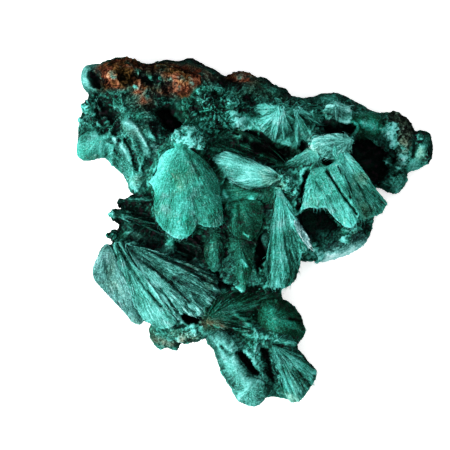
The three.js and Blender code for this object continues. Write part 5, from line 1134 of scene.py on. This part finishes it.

# Openings where the ground sinks, darkened by a painted shade: centre, half widths, turn in degrees, depth.
caves = [
    (-21.2, 28.8, 1.9, 1.2, -20, 4), (-19.9, 26.8, 2.6, 1.5, -55, 5), (-18.3, 25.2, 1.3, 1.7, 15, 4),
    (31.9, 17.2, 4.4, 6.0, 0, 12), (18.8, 16.9, 1.5, 0.9, -20, 7), (21.6, 25.3, 4.2, 1.9, -8, 7),
    (-16.4, -4.2, 2.4, 2.6, 0, 5), (6.5, -16, 4.2, 1.5, 0, 4), (17.0, 2.2, 5.0, 3.2, -15, 3),
    (2.4, -5.6, 4.6, 1.6, 72, 10), (-9.2, -11.0, 1.8, 1.2, -40, 6), (-5.4, -14.6, 4.4, 1.0, -14, 5),
    (2.0, -13.4, 3.4, 1.0, 40, 4), (-14.6, -21.7, 2.7, 1.7, -5, 9), (-19.6, -21.2, 1.4, 0.9, -40, 5),
    (-0.4, -33.4, 3.5, 0.9, -52, 6), (4.3, -33, 4.4, 1.1, -70, 3), (-22.4, 14.4, 2.6, 0.9, 60, 8),
    (-9.6, -2.2, 3.6, 0.9, 80, 4), (12.9, 9.4, 5.2, 0.9, 78, 5), (3.4, 19.6, 5.4, 1.7, -22, 6),
    (13.4, 20.2, 1.3, 2.4, 25, 5), (-6.6, 8.0, 5.0, 0.8, 80, 4), (-38.2, 37.2, 2.2, 1.5, -58, 6),
    (-35.3, 29, 3.8, 2.9, -50, 7), (-26.4, 37.4, 2.0, 1.2, -20, 4), (-1.6, 24.2, 4.2, 0.9, -10, 3),
    (12.0, -9.2, 2.4, 0.6, 60, 4), (-32.8, 20.4, 4.4, 0.7, -72, 3), (36.4, 15.0, 2.6, 0.8, -50, 3),
    (41.2, 20.2, 2.6, 0.7, -75, 3)]


def spreadOut(image, passes, choose):
    # the largest or smallest value around each cell, in rounded steps
    for step in range(passes):
        around = [image] + [np.roll(image, shift, axis) for axis in (0, 1) for shift in (1, -1)]
        if step % 2:
            around += [np.roll(row, shift, 1) for row in around[1:3] for shift in (1, -1)]
        image = choose.reduce(around)
    return image


def softened(image, passes):
    for step in range(passes):
        image = (2 * image + np.roll(image, 1, 0) + np.roll(image, -1, 0)) / 4
        image = (2 * image + np.roll(image, 1, 1) + np.roll(image, -1, 1)) / 4
    return image


def groundMaps(values, known):
    # colours spread softly over the gaps, and the run of the fibres carried on from their edges
    maps = {}
    for key in colourMarks:
        total = softened(values[key] * known, filling["spread"])
        maps[key] = total / np.maximum(softened(known, filling["spread"]), 1e-4)
    for key in fibreMarks:
        image, sure = values[key] * known, known > 0
        for step in range(filling["bridge"]):
            for axis, shift in ((0, 1), (0, -1), (1, 1), (1, -1)):
                taken = ~sure & np.roll(sure, shift, axis)
                image = np.where(taken, np.roll(image, shift, axis), image)
                sure = sure | taken
        maps[key] = image
    return maps


def caveDepths(x, y, seed):
    sunk = np.zeros(x.shape)
    ragged = 0.4 * rockNoise(x, y, 0 * x, 1.9, seed) + 0.3 * rockNoise(x, y, 0 * x, 0.8, seed + 1)
    for spotX, spotY, wide, tall, turn, deep in caves:
        c, t = math.cos(math.radians(turn)), math.sin(math.radians(turn))
        dx, dy = x - spotX, y - spotY
        away = np.hypot((c * dx + t * dy) / wide, (c * dy - t * dx) / tall)
        sunk = np.maximum(sunk, deep * smooth(1.2, 0.6, away + ragged))
    return sunk


def fillGaps(name, objects, seed):
    # the felted ground between neighbouring fans, a little below them, of their colour but darker by a
    # painted shade, and darker still in the caves
    cell, level, bridge = filling["cell"], filling["level"], filling["bridge"]
    cloud = np.vstack([readVectors(obj.data.vertices, "co") / mm for obj in objects])
    low = cloud[:, :2].min(0) - filling["margin"]
    size = np.ceil((cloud[:, :2].max(0) + filling["margin"] - low) / cell).astype(int)
    at = ((cloud[:, :2] - low) / cell).astype(int)
    order = np.argsort(cloud[:, 2])
    owner = np.full(size, -1)
    owner[at[order, 0], at[order, 1]] = order    # the highest point in each cell
    heights = np.where(owner >= 0, cloud[owner, 2], 0)
    empty = spreadOut(heights, 2, np.maximum)
    heights = np.where(heights < level, spreadOut(empty, 2, np.minimum), heights)
    inside = heights > level
    closed = spreadOut(spreadOut(heights, bridge, np.maximum), bridge, np.minimum)
    known = (inside & (closed - heights < filling["flush"]) & (owner >= 0)).astype(float)
    values = {key: np.concatenate([readField(obj, key) for obj in objects]).astype(float)[owner]
              for key in colourMarks + fibreMarks}
    maps = groundMaps(values, known)
    ground = softened(np.where(inside, closed, heights), filling["easing"]) - filling["sink"]
    x = low[0] + (np.arange(size[0])[:, None] + 0.5) * cell + np.zeros(size)
    y = low[1] + (np.arange(size[1])[None, :] + 0.5) * cell + np.zeros(size)
    sunk = caveDepths(x, y, seed)
    ground = np.maximum(ground - sunk, filling["lowest"])

    shown = (ground > heights - 0.1) & inside
    shown = spreadOut(shown.astype(float), filling["tuck"], np.maximum) > 0
    shown &= spreadOut(inside.astype(float), filling["rimCells"], np.minimum) > 0
    i, j = np.nonzero(shown[:-1, :-1] & shown[1:, :-1] & shown[:-1, 1:] & shown[1:, 1:])
    corner = i * size[1] + j
    used, quads = np.unique(np.stack([corner, corner + size[1], corner + size[1] + 1, corner + 1], 1),
                            return_inverse=True)
    points = np.stack([x.ravel()[used], y.ravel()[used], ground.ravel()[used]], 1)
    obj = makeObject(name, points, quads.reshape(-1, 4), np.zeros((0, 3), int))
    edges = readEdges(obj.data)
    for axis in range(3):
        points[:, axis] = eased(points[:, axis], edges, 2)
    fields = {key: maps[key].ravel()[used] for key in colourMarks}
    fields["tone"] = (fields["tone"] - filling["gapShade"]
                      - filling["caveShade"] * np.minimum(sunk.ravel()[used], filling["caveDepth"]))
    fields["across"], fields["along"] = (maps[key].ravel()[used] for key in fibreMarks)
    fields.update({key: np.full(len(points), float(value)) for key, value in filling["look"].items()})
    return weather(obj, points, fields, seed, None, grain["groundCrisp"])


pieces["felt"] = fillGaps("felt", list(pieces.values()), groundSeeds["felt"])
print("gaps filled")


# Map cell, margin and search distances in mm; flank is how far, in cells, the outer side is no recess.
shade = {
    "cell": 0.3, "margin": 12, "directions": 16, "reach": (0.5, 1.0, 1.8, 3.0, 4.5, 6.5, 9.0), "flank": 18,
    "clearance": 0.15, "grooveGain": 1.3, "grooveShare": 0.8, "skyShare": 0.2,
    "under": (0.8, 3.0), "underLoss": 0.6, "flankLight": 0.9,
}


def shadeRecesses(objects):
    # how open the sky is above each point, from a map of the highest points; the material darkens the tone by
    # it, a painted shade in recesses and under overhangs
    cell, half = shade["cell"], shade["directions"] // 2
    clouds = [readVectors(obj.data.vertices, "co", np.float32) / mm for obj in objects]
    everything = np.vstack(clouds)
    low = everything[:, :2].min(0) - shade["margin"]
    size = np.ceil((everything[:, :2].max(0) + shade["margin"] - low) / cell).astype(int)
    heights = np.zeros(size[0] * size[1])
    index = ((everything[:, :2] - low) / cell).astype(int)
    np.maximum.at(heights, index[:, 0] * size[1] + index[:, 1], everything[:, 2])
    heights = heights.reshape(size)
    flank = spreadOut((spreadOut(heights, 2, np.maximum) < 0.5).astype(float), shade["flank"], np.maximum)

    def cellAt(x, y):
        return np.clip(x.astype(int), 0, size[0] - 1), np.clip(y.astype(int), 0, size[1] - 1)

    for obj, cloud in zip(objects, clouds):
        x, y = ((cloud[:, :2] - low) / cell).T
        slopes = []
        for k in range(shade["directions"]):
            turn = 2 * math.pi * (k + 0.5) / shade["directions"]
            steepest = np.zeros(len(cloud))
            for reach in shade["reach"]:
                seen = cellAt(x + math.cos(turn) * reach / cell, y + math.sin(turn) * reach / cell)
                steepest = np.maximum(steepest, (heights[seen] - cloud[:, 2] - shade["clearance"]) / reach)
            slopes.append(steepest)
        lower = [np.minimum(slopes[k], slopes[k + half]) for k in range(half)]
        openness = np.mean([1 / (1 + (shade["grooveGain"] * slope) ** 2) for slope in lower], axis=0)
        openness = (shade["grooveShare"] * openness
                    + shade["skyShare"] * np.mean([1 / (1 + slope ** 2) for slope in slopes], axis=0))
        here = cellAt(x, y)
        under = smooth(*shade["under"], heights[here] - cloud[:, 2])
        openness = openness * (1 - shade["underLoss"] * under * (1 - flank[here]))
        setField(obj.data, "openness", np.maximum(openness, shade["flankLight"] * under * flank[here]))


shadeRecesses(list(pieces.values()))
print("recesses shaded")


def linear(r, g, b):
    parts = (c / 255 for c in (r, g, b))
    return tuple(c / 12.92 if c < 0.04045 else ((c + 0.055) / 1.055) ** 2.4 for c in parts) + (1,)


malachiteLook = {
    # colours from the darkest tone to the palest
    "main": ((0.0, (4, 11, 9)), (0.15, (11, 38, 32)), (0.3, (23, 70, 60)), (0.45, (39, 106, 93)),
             (0.6, (58, 142, 130)), (0.75, (81, 172, 163)), (0.88, (99, 192, 184)), (1.0, (114, 200, 195))),
    "green": ((0.0, (3, 12, 7)), (0.3, (15, 62, 44)), (0.6, (32, 130, 109)), (0.75, (49, 168, 151)),
              (0.88, (74, 199, 188)), (1.0, (96, 208, 200))),
    "lilac": ((0.0, (4, 8, 10)), (0.4, (42, 78, 78)), (0.75, (120, 168, 170)), (1.0, (200, 226, 228))),
    "rust": ((0.0, (8, 4, 3)), (0.25, (54, 27, 18)), (0.45, (104, 58, 40)), (0.65, (150, 94, 66)),
             (0.85, (184, 136, 104)), (1.0, (208, 174, 148))),
    "ochre": ((0.0, (6, 5, 2)), (0.25, (46, 34, 16)), (0.45, (92, 66, 32)), (0.65, (136, 100, 54)),
              (0.85, (172, 138, 92)), (1.0, (204, 182, 142))),
    "moss": ((0.0, (5, 8, 4)), (0.3, (38, 52, 30)), (0.6, (92, 116, 78)), (1.0, (190, 206, 170))),
    "dusk": (34, 24, 30), "glint": (186, 228, 220),
    # patches of noise: scale, detail, level above which they show, gain
    "greenPatch": (240, 2.0, 0.5, 4.0), "lilacPatch": (330, 2.0, 0.55, 4.0),
    "mossPatch": (130, 3.0, 0.58, 5.0), "duskPatch": (800, 2.0, 0.52, 6.0),
    "ochrePatch": (210, 2.0, 0.45, 5.0), "wornPatch": (300, 2.0, 0.26, 5.0),
    "specks": (2100, 1.0, 0.58, 5.0), "glints": (1700, 0.0, 0.67, 9.0), "glintPatch": (260, 3.0, 0.44, 3.0),
    "greenShare": 0.55, "lilacShare": 0.5, "mossShare": 0.4,
    # how much each pattern changes the tone
    "streaks": 0.9, "grain": 0.7, "clouds": 0.3, "facets": 0.6, "cracks": 0.25, "crackWidth": 0.12,
    "speckTone": 0.5, "leastFacets": 0.1, "crustCover": 0.7, "shadePower": 1.3,
    "sparkleSize": 0.3 * mm, "facetSize": 0.5 * mm, "cloudScale": 180,
    "fineFibre": 0.22, "fibreLength": 0.8,    # width of the finest fibres in mm, and their pace lengthwise
    "roughness": 0.5, "specular": 0.0, "bump": 0.35, "bumpDepth": 0.15 * mm, "sparkleBump": 0.8,
}


def malachiteMaterial():
    look = malachiteLook
    material = bpy.data.materials.new("malachiteFibre")
    material.use_nodes = True
    nodes, links = material.node_tree.nodes, material.node_tree.links
    nodes.clear()
    out = nodes.new("ShaderNodeOutputMaterial")
    skin = nodes.new("ShaderNodeBsdfPrincipled")
    links.new(skin.outputs["BSDF"], out.inputs["Surface"])

    def attribute(name):
        node = nodes.new("ShaderNodeAttribute")
        node.attribute_name = name
        return node.outputs["Fac"]

    def feed(socket, value):
        if isinstance(value, bpy.types.NodeSocket):
            links.new(value, socket)
        else:
            socket.default_value = value

    def maths(operation, a, b, clamp=False):
        node = nodes.new("ShaderNodeMath")
        node.operation, node.use_clamp = operation, clamp
        feed(node.inputs[0], a)
        feed(node.inputs[1], b)
        return node.outputs[0]

    def mixColour(factor, a, b):
        node = nodes.new("ShaderNodeMix")
        node.data_type = "RGBA"
        for key, value in (("Factor", factor), (6, a), (7, b)):
            feed(node.inputs[key], value)
        return node.outputs[2]

    def noiseAt(vector, scale, detail):
        node = nodes.new("ShaderNodeTexNoise")
        for key, value in (("Vector", vector), ("Scale", scale), ("Detail", detail)):
            feed(node.inputs[key], value)
        return node.outputs["Fac"]

    def patch(key):
        scale, detail, level, gain = look[key]
        return maths("MULTIPLY", maths("SUBTRACT", noiseAt(place, scale, detail), level), gain, True)

    def centred(value, amount):
        return maths("MULTIPLY", maths("SUBTRACT", value, 0.5), amount)

    def voronoi(feature):
        node = nodes.new("ShaderNodeTexVoronoi")
        node.feature = feature
        feed(node.inputs["Scale"], 1 / look["facetSize"])
        feed(node.inputs["Vector"], place)
        return node.outputs

    def ramp(key):
        node = nodes.new("ShaderNodeValToRGB")
        elements = node.color_ramp.elements
        elements.remove(elements[-1])
        stops = look[key]
        elements[0].position, elements[0].color = stops[0][0], linear(*stops[0][1])
        for position, colour in stops[1:]:
            elements.new(position).color = linear(*colour)
        links.new(shown, node.inputs[0])
        return node.outputs[0]

    place = nodes.new("ShaderNodeTexCoord").outputs["Object"]
    fibre = nodes.new("ShaderNodeCombineXYZ")
    links.new(maths("DIVIDE", attribute("acrossFibre"), look["fineFibre"]), fibre.inputs[0])
    links.new(maths("MULTIPLY", attribute("alongFibre"), look["fibreLength"]), fibre.inputs[1])
    streak = noiseAt(fibre.outputs[0], 1.0, 1.0)
    sparkle = noiseAt(place, 1 / look["sparkleSize"], 1.0)

    # the tone: the baked one with streaks, grain, facets, clouds and specks, darker in recesses by a painted
    # shade
    grainy = maths("ADD", maths("MULTIPLY", centred(streak, look["streaks"]), attribute("streak")),
                   centred(sparkle, look["grain"]))
    crack = maths("SUBTRACT", look["crackWidth"], voronoi("DISTANCE_TO_EDGE")["Distance"])
    facet = maths("SUBTRACT", centred(voronoi("F1")["Color"], look["facets"]),
                  maths("MULTIPLY", maths("MULTIPLY", crack, 4.0, True), look["cracks"]))
    weight = maths("MULTIPLY", maths("ADD", attribute("druse"), look["leastFacets"], True),
                   maths("SUBTRACT", 1.0, maths("MULTIPLY", attribute("crust"), look["crustCover"])))
    grainy = maths("ADD", grainy, maths("MULTIPLY", facet, weight))
    patchy = centred(noiseAt(place, look["cloudScale"], 3.0), look["clouds"])
    speckled = maths("MULTIPLY", maths("MULTIPLY", patch("specks"), attribute("druse")), look["speckTone"])
    shown = maths("ADD", maths("ADD", maths("ADD", attribute("tone"), grainy), patchy), speckled)
    # painted shade: the tone darkens where the sky is less open
    depth = maths("POWER", attribute("openness"), look["shadePower"])
    shown = maths("MULTIPLY", maths("MAXIMUM", shown, 0.0), depth, True)

    # the colour of that tone
    green = maths("ADD", attribute("green"), maths("MULTIPLY", patch("greenPatch"), look["greenShare"]), True)
    colour = mixColour(green, ramp("main"), ramp("green"))
    lilac = maths("ADD", attribute("lilac"), maths("MULTIPLY", patch("lilacPatch"), look["lilacShare"]), True)
    colour = mixColour(lilac, colour, ramp("lilac"))
    dim = maths("MULTIPLY", maths("SUBTRACT", 0.4, shown), 2.0, True)
    colour = mixColour(maths("MULTIPLY", patch("duskPatch"), dim), colour, linear(*look["dusk"]))
    colour = mixColour(maths("MULTIPLY", patch("mossPatch"), look["mossShare"]), colour, ramp("moss"))
    glint = maths("MULTIPLY", patch("glints"), patch("glintPatch"))
    glint = maths("MULTIPLY", glint, maths("SUBTRACT", shown, 0.2), True)
    colour = mixColour(glint, colour, linear(*look["glint"]))
    rusty = mixColour(patch("ochrePatch"), ramp("rust"), ramp("ochre"))
    colour = mixColour(maths("MULTIPLY", attribute("crust"), patch("wornPatch")), colour, rusty)

    bump = nodes.new("ShaderNodeBump")
    height = maths("ADD", streak, maths("MULTIPLY", sparkle, look["sparkleBump"]))
    for node, key, value in ((bump, "Strength", look["bump"]), (bump, "Distance", look["bumpDepth"]),
                             (bump, "Height", height), (skin, "Normal", bump.outputs[0]),
                             (skin, "Base Color", colour), (skin, "Roughness", look["roughness"]),
                             (skin, "Specular IOR Level", look["specular"])):
        feed(node.inputs[key], value)
    return material


malachite = malachiteMaterial()
for piece in pieces.values():
    piece.data.materials.append(malachite)

# Small crystals and needles: count per square mm, sizes in mm, and where they stand.
growths = {
    "Crystals": {
        "perSquare": 0.8, "sides": 5, "length": (0.2, 0.6), "width": (0.12, 0.32), "lift": 0.12, "swing": 0.9,
        "toneGain": (-0.05, 0.32), "alongFibres": 0.0, "leastUp": 0.1, "leastOpen": 0.35, "leastDruse": 0.1,
        "crustLoss": 0.7, "firstSeed": 60,
        "on": ("westRock", "northRock", "eastRock", "middleRock", "southRock", "felt")},
    "Needles": {
        "perSquare": 1.6, "sides": 3, "length": (0.9, 2.4), "width": (0.09, 0.17), "lift": 0.03,
        "swing": 0.12,
        "toneGain": (-0.1, 0.3), "alongFibres": 1.0, "leastUp": 0.2, "leastOpen": 0.3,
        "sparse": ("middlePlates", "darkBlades"), "sparseShare": 0.2, "share": 0.8, "firstSeed": 80,
        "on": ("centralFan", "centreFans", "middlePlates", "sunburst", "paleTuft", "rightFans", "darkBlades",
               "broadFan", "tongueFans")},
}


def growthNodes():
    # small pointed crystals set on a surface; they lie along the fibres where Along Fibres is on
    tree = bpy.data.node_groups.new("growth", "GeometryNodeTree")
    face = tree.interface
    sockets = [("Geometry", "Geometry")]
    sockets += [(name, "Float") for name in ("Per Square Metre", "Shortest", "Longest", "Thinnest", "Widest",
                                             "Lift", "Swing", "Least Gain", "Most Gain", "Along Fibres")]
    sockets += [("Sides", "Int"), ("Seed", "Int"), ("Material", "Material")]
    for name, kind in sockets:
        face.new_socket(name, in_out="INPUT", socket_type="NodeSocket" + kind)
    face.new_socket("Geometry", in_out="OUTPUT", socket_type="NodeSocketGeometry")
    nodes, links = tree.nodes, tree.links
    given = nodes.new("NodeGroupInput").outputs

    def put(kind, values, **settings):
        node = nodes.new(kind)
        for key, value in settings.items():
            setattr(node, key, value)
        for key, value in values.items():
            if isinstance(value, bpy.types.NodeSocket):
                links.new(value, node.inputs[key])
            else:
                node.inputs[key].default_value = value
        return node

    def named(name):
        return put("GeometryNodeInputNamedAttribute", {"Name": name}, data_type="FLOAT").outputs["Attribute"]

    def maths(operation, a, b):
        return put("ShaderNodeMath", {0: a, 1: b}, operation=operation).outputs[0]

    def vectors(operation, values, result=0):
        return put("ShaderNodeVectorMath", values, operation=operation).outputs[result]

    def between(low, high, step):
        seed = maths("ADD", given["Seed"], step)
        return put("FunctionNodeRandomValue", {2: low, 3: high, "Seed": seed}, data_type="FLOAT").outputs[1]

    density = maths("MULTIPLY", given["Per Square Metre"], named("growth"))
    spots = put("GeometryNodeDistributePointsOnFaces",
                {"Mesh": given["Geometry"], "Density": density, "Seed": given["Seed"]},
                distribute_method="RANDOM").outputs
    shape = put("GeometryNodeMeshCone",
                {"Vertices": given["Sides"], "Side Segments": 1, "Fill Segments": 1, "Radius Top": 0.0,
                 "Radius Bottom": 0.5, "Depth": 1.0}, fill_type="NGON")
    fibre = put("ShaderNodeCombineXYZ", {"X": named("fibreX"), "Y": named("fibreY"), "Z": 0.0}).outputs[0]
    lean = vectors("DOT_PRODUCT", {0: fibre, 1: spots["Normal"]}, "Value")
    flat = vectors("SUBTRACT", {0: fibre, 1: vectors("SCALE", {0: spots["Normal"], "Scale": lean})})
    aim = put("ShaderNodeMix", {"Factor": given["Along Fibres"], 4: spots["Normal"], 5: flat},
              data_type="VECTOR").outputs[1]
    turned = put("FunctionNodeAlignRotationToVector", {"Vector": aim}, axis="Z").outputs[0]
    swing = put("ShaderNodeCombineXYZ", {key: maths("MULTIPLY", given["Swing"], between(-1.0, 1.0, step))
                                         for step, key in enumerate("XYZ", 1)}).outputs[0]
    swing = put("FunctionNodeEulerToRotation", {0: swing}).outputs[0]
    turned = put("FunctionNodeRotateRotation", {0: turned, 1: swing}, rotation_space="LOCAL").outputs[0]
    wide = between(given["Thinnest"], given["Widest"], 4)
    tall = between(given["Shortest"], given["Longest"], 5)
    size = put("ShaderNodeCombineXYZ", {"X": wide, "Y": wide, "Z": tall})
    gain = maths("ADD", named("tone"), between(given["Least Gain"], given["Most Gain"], 6))
    toned = put("GeometryNodeStoreNamedAttribute",
                {"Geometry": spots["Points"], "Name": "tone", "Value": gain},
                data_type="FLOAT", domain="POINT")
    raised = vectors("SCALE", {0: spots["Normal"], "Scale": given["Lift"]})
    lifted = put("GeometryNodeSetPosition", {"Geometry": toned.outputs[0], "Offset": raised})
    grown = put("GeometryNodeInstanceOnPoints",
                {"Points": lifted.outputs[0], "Instance": shape.outputs["Mesh"], "Rotation": turned,
                 "Scale": size.outputs[0]})
    real = put("GeometryNodeRealizeInstances", {0: grown.outputs[0]})
    dressed = put("GeometryNodeSetMaterial", {0: real.outputs[0], "Material": given["Material"]})
    links.new(dressed.outputs[0], nodes.new("NodeGroupOutput").inputs[0])
    return tree


def growOn(name, source, look, weights, seed):
    # one object of crystals or needles that stands on the source
    setField(source.data, "growth", weights)
    carrier = addObject(name + "Carrier", source.data)
    growth = carrier.modifiers.new("growth", "NODES")
    growth.node_group = growthTree
    (shortest, longest), (thinnest, widest) = look["length"], look["width"]
    leastGain, mostGain = look["toneGain"]
    given = {"Per Square Metre": look["perSquare"] / mm ** 2, "Shortest": shortest * mm,
             "Longest": longest * mm, "Thinnest": thinnest * mm, "Widest": widest * mm,
             "Lift": look["lift"] * mm, "Swing": look["swing"],
             "Least Gain": leastGain, "Most Gain": mostGain, "Along Fibres": look["alongFibres"],
             "Sides": look["sides"], "Seed": seed, "Material": malachite}
    for socket in growthTree.interface.items_tree:
        if socket.in_out == "INPUT" and socket.name in given:
            growth[socket.identifier] = given[socket.name]
    mesh = bakedMesh(name, carrier)
    source.data.attributes.remove(source.data.attributes["growth"])
    print(name, "faces", len(mesh.polygons))
    return addObject(name, mesh)


growthTree = growthNodes()
for kind, look in growths.items():
    for seed, name in enumerate(look["on"], look["firstSeed"]):
        source = pieces[name]
        upward = readVectors(source.data.vertices, "normal")[:, 2] > look["leastUp"]
        clear = readField(source, "openness") > look["leastOpen"]
        if kind == "Crystals":
            weights = np.clip(readField(source, "druse") - look["leastDruse"], 0, 1) * clear * upward
            weights = weights * (1 - look["crustLoss"] * readField(source, "crust"))
        else:
            weights = clear * upward * readField(source, "streak")
            weights = weights * look["sparseShare" if name in look["sparse"] else "share"]
        pieces[name + kind] = growOn(name + kind, source, look, weights, seed)
print("crystals and needles grown")

for piece in pieces.values():
    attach(piece, "root")
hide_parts("malachite_specimen")
print("malachite dressed")

studio = {
    "aim": (-6.25 * mm, 1.25 * mm), "cameraHeight": 1.015, "reachUp": 0.015,
    "frameWidth": 112.5 * mm, "sensor": 36.0, "clipEnd": 10,
    "key": {"place": (-0.55, -0.25, 0.60), "size": 0.35, "power": 9.9},
    "fill": {"place": (0.5, 0.3, 0.8), "size": 0.9, "power": 1.5},
    "overhead": {"place": (0.0, 0.0, 1.3), "size": 1.0, "power": 7.9},
    "world": 0.22,
    "floor": {"reach": 3.0, "drop": 0.02 * mm, "tone": 0.95, "roughness": 0.9, "specular": 0.1, "glow": 0.55},
}


def addCamera():
    data = bpy.data.cameras.new("camera")
    data.sensor_width = studio["sensor"]
    data.lens = studio["sensor"] * (studio["cameraHeight"] - studio["reachUp"]) / studio["frameWidth"]
    data.clip_end = studio["clipEnd"]
    camera = addObject("camera", data)
    camera.location = (*studio["aim"], studio["cameraHeight"])
    bpy.context.scene.camera = camera


def addLight(name, place, size, power):
    data = bpy.data.lights.new(name, "AREA")
    data.shape, data.size, data.energy = "DISK", size, power
    light = addObject(name, data)
    light.location = place
    light.rotation_euler = Vector(place).to_track_quat("Z", "Y").to_euler()


def addFloor(reach, drop, tone, roughness, specular, glow):
    mesh = bpy.data.meshes.new("floor")
    corners = [(-reach, -reach, 0), (reach, -reach, 0), (reach, reach, 0), (-reach, reach, 0)]
    mesh.from_pydata(corners, [], [(0, 1, 2, 3)])
    floor = addObject("floor", mesh)
    floor.location.z = -drop
    paint = bpy.data.materials.new("floorPaint")
    paint.use_nodes = True
    skin = paint.node_tree.nodes["Principled BSDF"]
    for key, value in (("Base Color", (tone, tone, tone, 1)), ("Roughness", roughness),
                       ("Specular IOR Level", specular), ("Emission Color", (1, 1, 1, 1)),
                       ("Emission Strength", glow)):
        skin.inputs[key].default_value = value
    mesh.materials.append(paint)


def addWorld():
    world = bpy.data.worlds.new("world")
    world.use_nodes = True
    background = world.node_tree.nodes["Background"]
    background.inputs["Color"].default_value = (1, 1, 1, 1)
    background.inputs["Strength"].default_value = studio["world"]
    bpy.context.scene.world = world


addCamera()
for lightName in ("key", "fill", "overhead"):
    addLight(lightName, **studio[lightName])
addFloor(**studio["floor"])
addWorld()
bpy.context.scene.view_settings.view_transform = "Standard"
print("studio set")
